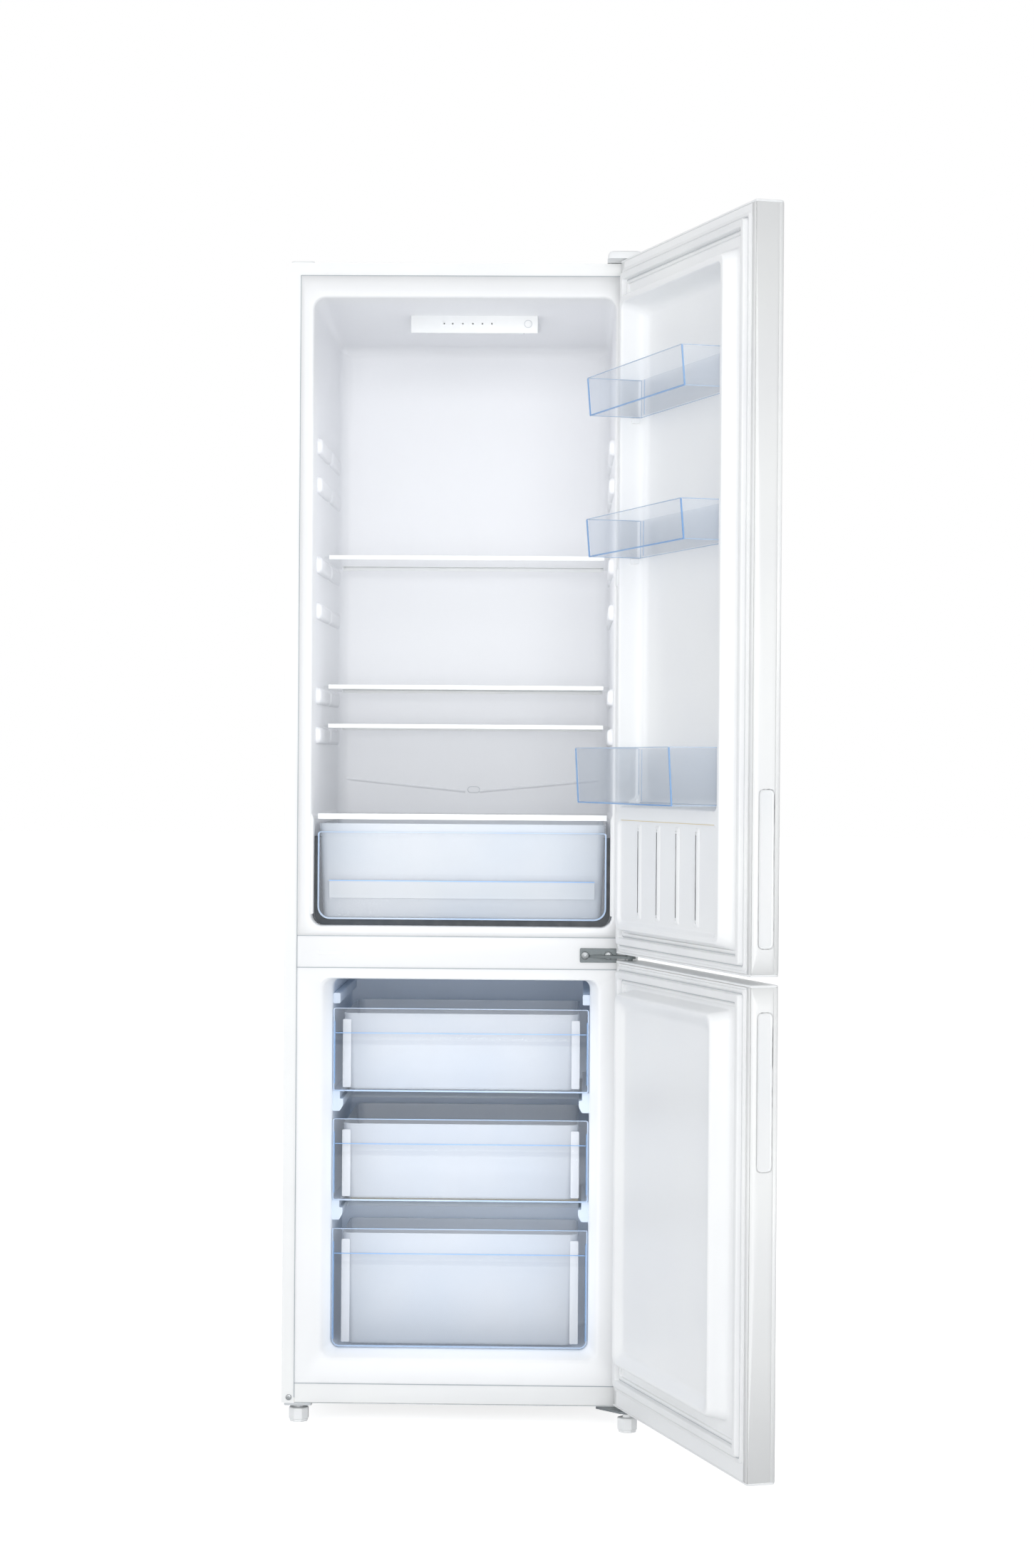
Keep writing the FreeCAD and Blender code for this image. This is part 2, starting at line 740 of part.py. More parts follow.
def make_hinges():
    """Top, middle and bottom hinges with their pins on one upright line, and the top covers."""
    body = piece("top_hinge", "cabinet")
    lift = "cabinet_top + hinge_plate/2"
    along_z(
        body, "cabinet_top", "cabinet_top + 1.5*hinge_plate",
        frame("hinge_cover_left + 6", HINGE_X, "4", "hinge_cover_back - 8"),
    )
    along_z(
        body, lift, "cabinet_top + 1.5*hinge_plate",
        shape(("hinge_cover_left + 6", "5"), (HINGE_X + " - arm_radius", HINGE_Y), (HINGE_X, HINGE_Y + " - 6"), (HINGE_X, "5")),
    )
    along_z(body, lift, "cabinet_top + 1.5*hinge_plate", disc(HINGE_X, HINGE_Y, "arm_radius"))
    along_z(body, "cabinet_top - boss_depth", lift + " + 0.1", disc(HINGE_X, HINGE_Y, "pin_radius"))

    body = piece("top_hinge_cover", "cabinet")
    top = "cabinet_top + hinge_cover_tall"
    upright(
        body, "cabinet_top + 1",
        frame("hinge_cover_left", SIDE + " - 0.5", "-hinge_cover_front", "hinge_cover_back", "8"),
        top,
        frame("hinge_cover_left + 5", SIDE + " - 3.5", "4 - hinge_cover_front", "hinge_cover_back - 8", "6"),
    )
    along_z(body, "cabinet_top", "cabinet_top + 1", frame("hinge_cover_left", SIDE + " - 0.5", "4 - 2", "hinge_cover_back", "1"))
    upright(
        body, "cabinet_top",
        frame("hinge_cover_left + 2", SIDE + " - 2.5", "3 - hinge_cover_front", "hinge_cover_back - 3", "6"),
        top + " - 2",
        frame("hinge_cover_left + 6", SIDE + " - 5", "6 - hinge_cover_front", "hinge_cover_back - 9", "5"),
        True,
    )

    body = piece("spare_hinge_cap", "cabinet")
    upright(
        body, "cabinet_top",
        frame("4 - " + SIDE, "-hinge_cover_left - 15", "6", "46", "6"),
        "cabinet_top + spare_cap_tall",
        frame("6 - " + SIDE, "-hinge_cover_left - 17", "8", "44", "5"),
    )

    body = piece("middle_hinge", "cabinet")
    along_y(body, "-hinge_plate", "0", frame("middle_left", "middle_right", "middle_low", "middle_high", "2"))
    arm_low = "(lower_door_high + hinge_plate)"
    along_z(
        body, arm_low, arm_low + " + hinge_plate + 1",
        shape(
            ("middle_left + 12", "-hinge_plate/2"),
            (HINGE_X + " - arm_radius", HINGE_Y + " - 5"),
            (HINGE_X, HINGE_Y + " - arm_radius + 1"),
            (HINGE_X + " + arm_radius - 1", HINGE_Y),
            ("middle_right + 8", "-hinge_plate/2"),
        ),
    )
    along_z(body, arm_low, arm_low + " + hinge_plate + 1", disc(HINGE_X, HINGE_Y, "arm_radius"))
    along_z(body, arm_low, "upper_door_low - play", disc(HINGE_X, HINGE_Y, "boss_radius"))
    along_z(body, "lower_door_high - boss_depth + 1", "upper_door_low + boss_depth - 1", disc(HINGE_X, HINGE_Y, "pin_radius"))

    body = piece("bottom_hinge", "cabinet")
    low = "cabinet_base - bracket_drop"
    along_z(
        body, low, "cabinet_base",
        shape(
            (HINGE_X + " - 48", "60"),
            (HINGE_X + " - 48", "0"),
            (HINGE_X + " - 10", HINGE_Y + " - 6"),
            (HINGE_X + " + 10", HINGE_Y + " - 6"),
            (HINGE_X + " + 10", "60"),
        ),
    )
    soften(body, "5", lambda box: box.ZLength > 3 and box.YMin < val(HINGE_Y))
    along_z(body, low, "lower_door_low - play", disc(HINGE_X, HINGE_Y, "boss_radius"))
    along_z(body, low, "lower_door_low + boss_depth - 1", disc(HINGE_X, HINGE_Y, "pin_radius"))
    along_z(body, low + " - 1", "cabinet_base", disc(HINGE_X, HINGE_Y, "stud_radius + pin_fit"), cut=True)


def make_foot(label, across, depth):
    """An eight-sided levelling foot with its stud and nut."""
    body = piece(label, "cabinet")
    half = "foot_across/2"
    flat = "foot_across/2*0.414214"
    corners = []
    for turn in range(4):
        for side in (-1, 1):
            along, out = "%d*%s" % (side, flat), half
            corners.append(((along, "-" + out), (out, along), ("-1*" + along, out), ("-" + out, "-1*" + along))[turn])

    def octagon(scale):
        return shape(*[("%s + (%s)*%s" % (across, x, scale), "%s + (%s)*%s" % (depth, y, scale)) for x, y in corners])

    along_z(body, "0", "foot_tall/2", octagon("1"))
    upright(body, "foot_tall/2", octagon("1"), "foot_tall", octagon("0.8"))
    along_z(body, "foot_tall", "cabinet_base - play", disc(across, depth, "stud_radius"))
    stop = "cabinet_base - bracket_drop - pin_fit"
    along_z(body, stop + " - nut_tall", stop, disc(across, depth, "nut_radius"))


def make_roller(label, across):
    """A transport roller on its axle."""
    body = piece(label, "cabinet")
    along_x(
        body, across + " - roller_wide/2", across + " + roller_wide/2",
        disc("roller_depth", "roller_radius", "roller_radius"),
        disc("roller_depth", "roller_radius", "axle_radius + pin_fit"),
    )
    soften(body, "2", lambda box: box.ZLength > 20 and box.XLength < 1, "Chamfer")


# ---- Doors ------------------------------------------------------------------------------------


def make_door(name, low, high, grip_low, gasket_low, gasket_high):
    """Steel skin, foam, end caps, grip cup and gasket of one door."""
    inside_low = low + " + cap_thick"
    inside_high = high + " - cap_thick"

    body = piece(name + "_door_skin", name)
    near_line = DOOR_IN
    back_line = DOOR_IN + " - skin"
    along_z(
        body, inside_low, inside_high,
        shape(
            ("-" + SIDE, near_line), ("-" + SIDE, DOOR_OUT), (SIDE, DOOR_OUT), (SIDE, near_line),
            (SIDE + " - door_return", near_line), (SIDE + " - door_return", back_line),
            (SIDE + " - skin", back_line), (SIDE + " - skin", DOOR_OUT + " + skin"),
            ("skin - " + SIDE, DOOR_OUT + " + skin"), ("skin - " + SIDE, back_line),
            ("door_return - " + SIDE, back_line), ("door_return - " + SIDE, near_line),
        ),
    )
    soften(body, "door_bend", lambda box: near(box.YMax, DOOR_OUT) and box.ZLength > 99)
    soften(body, "door_bend - skin", lambda box: near(box.YMax, DOOR_OUT + " + skin") and box.ZLength > 99)
    grip = frame(
        "-door_gap - grip_far", "-door_gap - grip_near", grip_low, grip_low + " + grip_tall", "grip_round",
    )
    along_x(body, "-1 - " + SIDE, "2 - " + SIDE, grip, cut=True)

    body = piece(name + "_door_foam", name)
    along_z(
        body, inside_low, inside_high,
        frame("skin - " + SIDE, SIDE + " - skin", DOOR_OUT + " + skin", DOOR_IN + " - shell"),
    )
    soften(body, "door_bend - skin", lambda box: near(box.YMax, DOOR_OUT + " + skin") and box.ZLength > 99)
    liner_back(body, name)
    along_x(body, "-1 - " + SIDE, "grip_deep - " + SIDE, grip, cut=True)
    for start, end in ((inside_low + " - 1", low + " + boss_depth"), (high + " - boss_depth", inside_high + " + 1")):
        along_z(body, start, end, disc(HINGE_X, HINGE_Y, "boss_radius"), cut=True)

    for end, cap_low, cap_high, boss in (
        ("top", inside_high, high, high + " - boss_depth"),
        ("bottom", low, inside_low, inside_low),
    ):
        body = piece("%s_door_%s_cap" % (name, end), name)
        along_z(body, cap_low, cap_high, frame("-" + SIDE, SIDE, DOOR_OUT, DOOR_IN))
        soften(body, "door_bend", lambda box: near(box.YMax, DOOR_OUT) and box.ZLength > 3)
        along_z(body, boss, boss + " + boss_depth - cap_thick", disc(HINGE_X, HINGE_Y, "boss_radius"))
        along_z(body, low, high, disc(HINGE_X, HINGE_Y, "pin_radius + pin_fit"), cut=True)

    body = piece(name + "_door_grip", name)
    along_x(body, "-" + SIDE, "grip_deep - " + SIDE, grip)
    along_x(
        body, "-1 - " + SIDE, "grip_deep - grip_wall - " + SIDE,
        frame(
            "grip_wall - door_gap - grip_far", "-door_gap - grip_near - grip_wall",
            grip_low + " + grip_wall", grip_low + " + grip_tall - grip_wall", "grip_round - grip_wall",
        ),
        cut=True,
    )

    body = piece(name + "_door_gasket", name)
    half = "(%s - door_return)" % SIDE
    face = DOOR_IN + " + gasket_thick"

    def band(inset, round_off):
        return frame(
            "(%s) - %s" % (inset, half), "%s - (%s)" % (half, inset),
            "%s + (%s)" % (gasket_low, inset), "%s - (%s)" % (gasket_high, inset), round_off,
        )

    along_y(
        body, DOOR_IN, face,
        band("0", "gasket_round"),
        frame(
            "gasket_side - " + half, half + " - gasket_side",
            gasket_low + " + gasket_end", gasket_high + " - gasket_end", "gasket_round",
        ),
    )
    for inset in ("groove_inset", "(gasket_end - groove_inset)"):
        along_y(
            body, face + " - groove_deep", face + " + 1",
            band(inset, "gasket_round"), band(inset + " + groove_wide", "gasket_round"), cut=True,
        )


LINERS = {
    "upper": {
        "foot": ("ridge_foot", "ridge_low_end", "ridge_top_end"),
        "crest": ("ridge_crest", "ridge_low_end + ridge_slope", "ridge_top_end - ridge_slope"),
        "tall": "ridge_high",
        "pans": [
            ("ridge_inner", "pan_low", "pan_high", "ridge_inner - 2", "pan_low + 3", "pan_high - 3", "-pan_depth"),
            (
                "ridge_inner", "panel_low", "panel_high",
                "ridge_inner - 4", "panel_low + 4", "panel_high - 4", "(ridge_high - panel_sink)",
            ),
        ],
    },
    "lower": {
        "foot": ("frame_foot", "frame_low_end", "frame_top_end"),
        "crest": ("frame_crest", "frame_low_end + 7", "frame_top_end - 7"),
        "tall": "frame_high",
        "pans": [
            (
                "frame_inner", "frame_low_end + 12", "frame_top_end - 12",
                "frame_panel", "frame_low_end + 27", "frame_top_end - 27", "(frame_high - frame_sink)",
            ),
        ],
    },
}


def slab(half, low, high, grow, corner):
    """A rounded outline about the door's middle line, grown all round."""
    return frame(
        "-(%s) - (%s)" % (half, grow), "%s + %s" % (half, grow),
        "%s - (%s)" % (low, grow), "%s + %s" % (high, grow), "%s + %s" % (corner, grow),
    )


def liner_hat(body, name, grow, start, cut):
    """The raised form of a door liner, from the flange to its crest, grown by a wall or not."""
    form = LINERS[name]
    foot, crest = form["foot"], form["crest"]
    tunnel(
        body, start, slab(*foot, grow, "ridge_round"),
        "%s + %s + %s" % (DOOR_IN, form["tall"], grow), slab(*crest, grow, "ridge_round"), cut,
    )


def liner_pans(body, name, grow, cut):
    """The pressed-in areas of a door liner, from the crest down, grown by a wall or not."""
    form = LINERS[name]
    for half, low, high, floor_half, floor_low, floor_high, depth in form["pans"]:
        tunnel(
            body, "%s + %s" % (DOOR_IN, form["tall"]), slab(half, low, high, grow, "pan_round"),
            "%s + %s - %s" % (DOOR_IN, depth, grow), slab(floor_half, floor_low, floor_high, grow, "pan_round"), cut,
        )


def liner_back(body, name):
    """The foam that fills the raised form of a door liner, behind its wall."""
    liner_hat(body, name, "-shell", DOOR_IN + " - shell", False)
    liner_pans(body, name, "shell", True)


def make_door_liner(name, low, high):
    """Thermoformed inner face of a door: a raised ring, sunk pans and, above, bosses and ribs."""
    body = piece(name + "_door_liner", name)
    along_y(
        body, DOOR_IN + " - shell", DOOR_IN,
        frame("door_return - " + SIDE, SIDE + " - door_return", low + " + cap_thick", high + " - cap_thick"),
    )
    liner_hat(body, name, "0", DOOR_IN, False)
    liner_hat(body, name, "-shell", DOOR_IN + " - shell", True)
    liner_pans(body, name, "shell", False)
    liner_pans(body, name, "0", True)
    if name == "upper":
        floor = DOOR_IN + " + ridge_high - panel_sink"
        for place in ("-1.5", "-0.5", "0.5", "1.5"):
            tunnel(
                body, floor + " - shell/2",
                frame(place + "*rib_pitch - rib_wide/2", place + "*rib_pitch + rib_wide/2", "rib_low", "rib_high", "3"),
                floor + " + rib_proud",
                frame(place + "*rib_pitch - rib_wide/2 + 2", place + "*rib_pitch + rib_wide/2 - 2", "rib_low + 2", "rib_high - 2", "1.5"),
            )
        bosses = []
        for rack, tuck in (("top_rack_low", "0"), ("middle_rack_low", "0"), ("bottle_low", "0.3*rack_boss")):
            bosses.append(
                along_y(
                    body, DOOR_IN + " - rack_back/2", DOOR_IN + " + rack_boss",
                    frame(
                        "shell/2 - ridge_inner + " + tuck, "rack_boss - ridge_inner",
                        rack + " - play - rack_boss/2", rack + " - play",
                    ),
                )
            )
        mirror(body, bosses)


def bin_outline(half, front, back, corner, inset):
    """The plan outline of an open bin, drawn in by an inset."""
    return frame(
        "%s - (%s)" % (inset, half), "%s - %s" % (half, inset),
        "%s + %s" % (front, inset), "%s - %s" % (back, inset), "%s - %s" % (corner, inset),
    )


def make_bin(body, half, front, back, low, high, corner, wall, draft, lean):
    """An open bin with drafted walls; its front leans out by lean towards the top."""
    for inset, start in (("0", low), (wall, "%s + %s" % (low, wall))):
        upright(
            body, start, bin_outline("(%s - %s)" % (half, draft), "(%s + %s)" % (front, lean), "(%s - %s)" % (back, draft), corner, inset),
            high, bin_outline(half, front, back, corner, inset), inset != "0",
        )


def make_rack(label, low, tall, out):
    """A clear door rack: a shallow bin that stands away from the door and is drawn in at its foot."""
    body = piece(label, "upper")
    back = "(%s - rack_back)" % DOOR_IN
    face = "(%s + %s)" % (DOOR_IN, out)
    rim = "(%s + %s)" % (low, tall)
    for inset, start in (("0", low), ("rack_wall", low + " + rack_wall")):
        upright(
            body, start, bin_outline("rack_half", back, "(%s - rack_draft)" % face, "rack_back - 1", inset),
            rim, bin_outline("rack_half", back, face, "rack_back - 1", inset), inset != "0",
        )
    along_y(
        body, back + " - 1", back + " + rack_wall",
        frame("rack_round - rack_half", "rack_half - rack_round", low + " + 2*rack_wall + 10", rim + " + 1"),
        cut=True,
    )


# ---- Inside the fridge ------------------------------------------------------------------------


def make_shelf(number, top):
    """A glass shelf with a moulded strip along its front and its back edge."""
    glass_low = "(%s - (shelf_trim + shelf_glass)/2)" % top
    glass_high = "(%s - (shelf_trim - shelf_glass)/2)" % top
    body = piece("glass_shelf_%d" % number, "cabinet")
    along_z(
        body, glass_low, glass_high,
        frame("-shelf_half", "shelf_half", "shelf_front + 1", "shelf_back - 1", "shelf_round"),
    )
    for end, start, stop in (
        ("front", "shelf_front", "shelf_front + trim_deep"),
        ("rear", "shelf_back - trim_deep", "shelf_back"),
    ):
        body = piece("shelf_%s_trim_%d" % (end, number), "cabinet")
        along_z(
            body, "%s - shelf_trim" % top, top,
            frame("trim_deep - trim_reach", "trim_reach - trim_deep", start, stop, "2"),
        )
        slot_start = "shelf_front + 1" if end == "front" else start + " - 1"
        slot_stop = stop + " + 1" if end == "front" else "shelf_back - 1"
        along_z(body, glass_low, glass_high, frame("-shelf_half", "shelf_half", slot_start, slot_stop), cut=True)


FLOOR_AT = "(fridge_floor + fridge_draft*%s/fridge_depth)"


def make_crisper():
    """The glass cover on its ledges and the deep crisper drawer with a pull ledge."""
    body = piece("crisper_cover_glass", "cabinet")
    low = "(ledge_top + play)"
    along_z(
        body, low, low + " + shelf_glass",
        shape(
            ("-cover_half", "cover_front + 1"), ("cover_half", "cover_front + 1"),
            ("cover_half - cover_taper", "cover_back"), ("cover_taper - cover_half", "cover_back"),
        ),
    )
    body = piece("crisper_cover_trim", "cabinet")
    along_x(
        body, "-cover_half + 6", "cover_half - 6",
        shape(
            ("cover_front", low + " + cover_high - 1"),
            ("cover_front", low + " - 1"),
            ("cover_front + 1", low + " - 1"),
            ("cover_front + 1", low + " + shelf_glass"),
            ("cover_front + trim_deep", low + " + shelf_glass"),
            ("cover_front + trim_deep", low + " + shelf_glass + 1"),
            ("cover_front + 3", low + " + cover_high - 0.5"),
        ),
    )

    body = piece("crisper_drawer", "cabinet")
    make_bin(
        body, "(crisper_half - 2)", "(crisper_front + crisper_wall/2)", "crisper_back", "(crisper_low + 1)",
        "crisper_high", "crisper_round", "crisper_wall", "6", "3",
    )
    along_y(body, "crisper_front", "crisper_front + crisper_wall", frame("-crisper_half", "crisper_half", "crisper_low", "crisper_high - 13"))
    soften(body, "crisper_round", lambda box: near(box.ZMin, "crisper_low") and box.YLength > 2 and box.XLength < 1 and box.ZLength < 1)
    along_x(
        body, "crisper_round - crisper_half", "crisper_half - crisper_round",
        shape(
            ("crisper_front + crisper_wall/2", "crisper_lip_low"),
            ("crisper_front", "crisper_lip_low"),
            ("crisper_front - crisper_lip_out", "crisper_lip_high - crisper_wall"),
            ("crisper_front - crisper_lip_out", "crisper_lip_high"),
            ("crisper_front + crisper_wall/2", "crisper_lip_high"),
        ),
    )
    for side in ("-1", "1"):
        along_x(
            body, side + "*runner_across - runner_wide/2", side + "*runner_across + runner_wide/2",
            shape(
                ("crisper_front + runner_wide", FLOOR_AT % "(crisper_front + runner_wide)" + " + play"),
                ("crisper_back - 5*runner_wide", FLOOR_AT % "(crisper_back - 5*runner_wide)" + " + play"),
                ("crisper_back - 5*runner_wide", "crisper_low + crisper_wall/2 + 1"),
                ("crisper_front + runner_wide", "crisper_low + crisper_wall/2 + 1"),
            ),
        )


def make_control_box():
    """The ceiling box with its lamp lens and one round button."""
    ceiling = "(fridge_ceiling - fridge_draft*%s/fridge_depth)"
    body = piece("control_box", "cabinet")
    along_x(
        body, "-box_left", "box_right",
        shape(
            ("box_front", "box_low"), ("box_back", "box_low"),
            ("box_back", ceiling % "box_back"), ("box_front", ceiling % "box_front"),
        ),
    )
    soften(body, "4", lambda box: near(box.YMax, "box_front") and box.ZLength > 20)
    along_y(
        body, "box_front - 1", "box_front + 2*button_radius",
        disc("button_across", "box_low + 15", "button_radius + play"),
        cut=True,
    )
    body = piece("control_button", "cabinet")
    along_y(
        body, "box_front - 1.5*button_press", "box_front + button_radius",
        disc("button_across", "box_low + 15", "button_radius"),
    )
    body = piece("lamp_lens", "cabinet")
    upright(
        body, "box_low - 5", frame("30 - box_left", "box_right - 30", "box_front + 46", "box_back - 26", "8"),
        "box_low", frame("24 - box_left", "box_right - 24", "box_front + 40", "box_back - 20", "8"),
    )


# ---- Inside the freezer -----------------------------------------------------------------------


def make_freezer_plates():
    """Two glass plates that lie in the side rails and carry the upper drawers."""
    for label, low in (("freezer_plate_1", "upper_plate"), ("freezer_plate_2", "lower_plate")):
        body = piece(label, "cabinet")
        along_z(body, low, low + " + plate_thick", frame("-plate_half", "plate_half", "plate_front", "plate_back"))
        soften(body, "10", lambda box: near(box.YMax, "plate_front") and box.ZLength > 3 and box.XLength < 1)


def make_drawer(number, low, high, back, floor):
    """A freezer drawer: a folded clear front with a finger groove and an open bin behind it."""
    body = piece("freezer_drawer_%d" % number, "cabinet")
    rear_high = "(%s - drawer_drop)" % high
    make_bin(
        body, "drawer_rim", "(drawer_front + grip_groove)", back, "(%s + 2)" % low,
        rear_high, "drawer_round", "drawer_wall", "drawer_draft", "0",
    )
    face, deep = "drawer_front", "(drawer_front + grip_groove)"
    along_x(
        body, "-drawer_half", "drawer_half",
        shape(
            (face, low),
            (face, high + " - grip_bottom"),
            (deep, high + " - grip_bottom + grip_groove/2"),
            (deep, high + " - grip_top - 2"),
            (face, high + " - grip_top"),
            (face, high),
            (deep + " + drawer_wall", high),
            (deep + " + drawer_wall", low),
        ),
    )
    along_x(
        body, "drawer_wall - drawer_half", "drawer_half - drawer_wall",
        shape(
            (face + " + drawer_wall", low + " - 1"),
            (face + " + drawer_wall", high + " - grip_bottom - drawer_wall"),
            (deep, high + " - grip_bottom + grip_groove/2 - drawer_wall"),
            (deep, low + " - 1"),
        ),
        cut=True,
    )
    for side in ("-1", "1"):
        along_x(
            body, side + "*runner_across - runner_wide/2", side + "*runner_across + runner_wide/2",
            frame("drawer_front + 40", back + " - 30", floor + " + play", low + " + 3"),
        )


def make_floor_bosses():
    """Five low pads on the floor of the lowest drawer, which keep packs off it."""
    body = NODES[-1][0]
    floor = "(drawer_three_low + 2 + drawer_wall)"
    for place in ("-2", "-1", "0", "1", "2"):
        upright(
            body, floor + " - drawer_wall/2",
            frame(
                place + "*pad_pitch - pad_wide/2", place + "*pad_pitch + pad_wide/2",
                "pad_front", "pad_front + pad_deep", "pad_high",
            ),
            floor + " + pad_high",
            frame(
                place + "*pad_pitch - pad_wide/2 + pad_high", place + "*pad_pitch + pad_wide/2 - pad_high",
                "pad_front + pad_high", "pad_front + pad_deep - pad_high", "pad_high/2",
            ),
        )


# ---- Compressor bay ---------------------------------------------------------------------------


def make_bay():
    """Compressor on its rubber feet, terminal box, evaporation tray, drain tube and two pipes."""
    body = piece("compressor", "cabinet")
    seam = "(can_low + can_high)/2"
    for start, end, small in (("can_low", seam, "0.8"), ("can_high", seam, "0.45")):
        round_small = disc("can_across", "can_along", "can_radius*" + small)
        round_full = disc("can_across", "can_along", "can_radius")
        waist = "(%s + (%s - %s)*0.6)" % (start, end, start)
        if small == "0.8":
            upright(body, start, round_small, waist, round_full)
            along_z(body, waist, "(%s + (can_high - %s)*0.4)" % (seam, seam), round_full)
        else:
            upright(body, "(%s + (can_high - %s)*0.4)" % (seam, seam), round_full, start, round_small)
    along_z(
        body, "can_low - 2", "can_low + 1",
        frame(
            "can_across - foot_plate_half", "can_across + foot_plate_half",
            "can_along - foot_plate_deep", "can_along + foot_plate_deep", "10",
        ),
    )
    for side in ("-1", "1"):
        for end in ("-1", "1"):
            along_z(
                body, "cabinet_base + pan_sheet", "can_low",
                disc(
                    "can_across + %s*(foot_plate_half - 14)" % side,
                    "can_along + %s*(foot_plate_deep - 14)" % end, "grommet_radius",
                ),
            )

    body = piece("terminal_box", "cabinet")
    along_z(
        body, "can_low + 30", "can_low + 100",
        frame("can_across", "can_across + can_radius + 32", "can_along - 30", "can_along + 30", "6"),
    )
    along_z(body, "can_low + 29", "can_low + 101", disc("can_across", "can_along", "can_radius"), cut=True)

    body = piece("drip_tray", "cabinet")
    make_bin(
        body, "tray_half", "(can_along - tray_deep)", "(can_along + tray_deep)", "(can_high)",
        "(can_high + tray_tall)", "12", "pan_sheet", "5", "5",
    )
    body = piece("drain_tube", "cabinet")
    tube = ("can_across - can_radius/4", "can_along + tray_deep/2")
    along_z(body, "can_high + pan_sheet", "bay_top - pan_sheet", disc(*tube, "1.5*pipe_radius"), disc(*tube, "pipe_radius"))


def elbow(start, end, low, high, bend):
    """An open path that runs across at one height, turns up and ends at another."""

    def draw(drawing):
        x0, x1, y0, y1, turn = (val(text) for text in (start, end, low, high, bend))
        way = 1 if x1 > x0 else -1
        spot = FreeCAD.Vector
        middle = spot(x1 - way * turn, y0 + turn, 0)
        circle = Part.Circle(middle, spot(0, 0, 1), turn)
        angles = (1.5 * pi, 2 * pi) if way > 0 else (pi, 1.5 * pi)
        drawing.addGeometry(
            [
                Part.LineSegment(spot(x0, y0, 0), spot(x1 - way * turn, y0, 0)),
                Part.ArcOfCircle(circle, *angles),
                Part.LineSegment(spot(x1, y0 + turn, 0), spot(x1, y1, 0)),
            ],
            False,
        )
        first, last = (1, 2) if way > 0 else (2, 1)
        drawing.addConstraint(Sketcher.Constraint("Tangent", 0, 2, 1, first))
        drawing.addConstraint(Sketcher.Constraint("Tangent", 1, last, 2, 1))
        drawing.addConstraint(Sketcher.Constraint("Horizontal", 0))
        drawing.addConstraint(Sketcher.Constraint("Vertical", 2))
        bound(drawing, bend, "Radius", 1)
        bound(drawing, start, "DistanceX", -1, 1, 0, 1)
        bound(drawing, low, "DistanceY", -1, 1, 0, 1)
        bound(drawing, end, "DistanceX", -1, 1, 2, 2)
        bound(drawing, high, "DistanceY", -1, 1, 2, 2)

    return draw


def make_pipe(label, height, out, shift):
    """A copper pipe from the compressor's side, round one bend and up to the bay's ceiling."""
    body = piece(label, "cabinet")
    start = "can_across - can_radius - 2"
    section = sketch(body, "YZ_Plane", start)
    disc("can_along + " + shift, height, "pipe_radius")(section)
    path = sketch(body, "XZ_Plane", "-(can_along + %s)" % shift)
    elbow(start, "can_across - can_radius - " + out, height, "bay_top - pan_sheet", "pipe_bend")(path)
    sweep = body.newObject("PartDesign::AdditivePipe", label + "_form")
    sweep.Profile = section
    sweep.Spine = (path, [])
    body.Tip = sweep


# ---- The whole object -------------------------------------------------------------------------

make_wrapper()
make_foam()
make_fridge_liner()
make_freezer_liner()
make_shell_panels()
make_hinges()
make_foot("left_foot", "-left_foot_x", "left_foot_y")
make_foot("right_foot", HINGE_X, HINGE_Y)
make_roller("left_roller", "-roller_across")
make_roller("right_roller", "roller_across")
make_control_box()
for number, top in enumerate(("shelf_one", "shelf_two", "shelf_three"), 1):
    make_shelf(number, top)
make_crisper()
make_freezer_plates()
make_drawer(1, "drawer_one_low", "drawer_one_high", "drawer_back", "upper_plate + plate_thick")
make_drawer(2, "drawer_two_low", "drawer_two_high", "drawer_back", "lower_plate + plate_thick")
make_drawer(3, "drawer_three_low", "drawer_three_high", "short_back", "freezer_floor")
make_floor_bosses()
make_bay()
make_pipe("suction_pipe", "(can_low + 70)", "64", "20")
make_pipe("discharge_pipe", "(can_low + 50)", "64", "-20")
make_door("upper", "upper_door_low", "cabinet_top", "upper_grip_low", "upper_gasket_low", "upper_gasket_high")
make_door_liner("upper", "upper_door_low", "cabinet_top")
make_door("lower", "lower_door_low", "lower_door_high", "lower_grip_low", "lower_gasket_low", "lower_gasket_high")
make_door_liner("lower", "lower_door_low", "lower_door_high")
make_rack("top_rack", "top_rack_low", "rack_tall", "rack_out")
make_rack("middle_rack", "middle_rack_low", "rack_tall", "rack_out")
make_rack("bottle_rack", "bottle_low", "bottle_tall", "bottle_out")
doc.recompute()

for body, group in NODES:
    if group == "cabinet":
        body.setExpression("Placement.Base.x", ex("-" + ORIGIN_X))
        body.setExpression("Placement.Base.y", ex("-" + ORIGIN_Y))
        continue
    turned_x = "(%s*cos(rest_angle) - %s*sin(rest_angle))" % (HINGE_X, HINGE_Y)
    turned_y = "(%s*sin(rest_angle) + %s*cos(rest_angle))" % (HINGE_X, HINGE_Y)
    body.Placement = FreeCAD.Placement(FreeCAD.Vector(), FreeCAD.Rotation(FreeCAD.Vector(0, 0, 1), val("rest_angle")))
    body.setExpression("Placement.Base.x", ex("%s - %s - %s" % (HINGE_X, turned_x, ORIGIN_X)))
    body.setExpression("Placement.Base.y", ex("%s - %s - %s" % (HINGE_Y, turned_y, ORIGIN_Y)))
    body.setExpression("Placement.Rotation.Angle", ex("rest_angle"))
doc.recompute()

for item in doc.Objects:
    if "Invalid" in item.State or "Error" in item.State:
        raise RuntimeError("%s failed: %s" % (item.Label, item.State))
    if item.TypeId in ("PartDesign::Pocket", "PartDesign::SubtractiveLoft"):
        if item.Shape.Volume > item.BaseFeature.Shape.Volume - 0.1:
            raise RuntimeError(item.Label + " cuts nothing")
for body, group in NODES:
    if body.Shape.isNull() or not body.Shape.isValid():
        raise RuntimeError(body.Label + " has no valid shape")

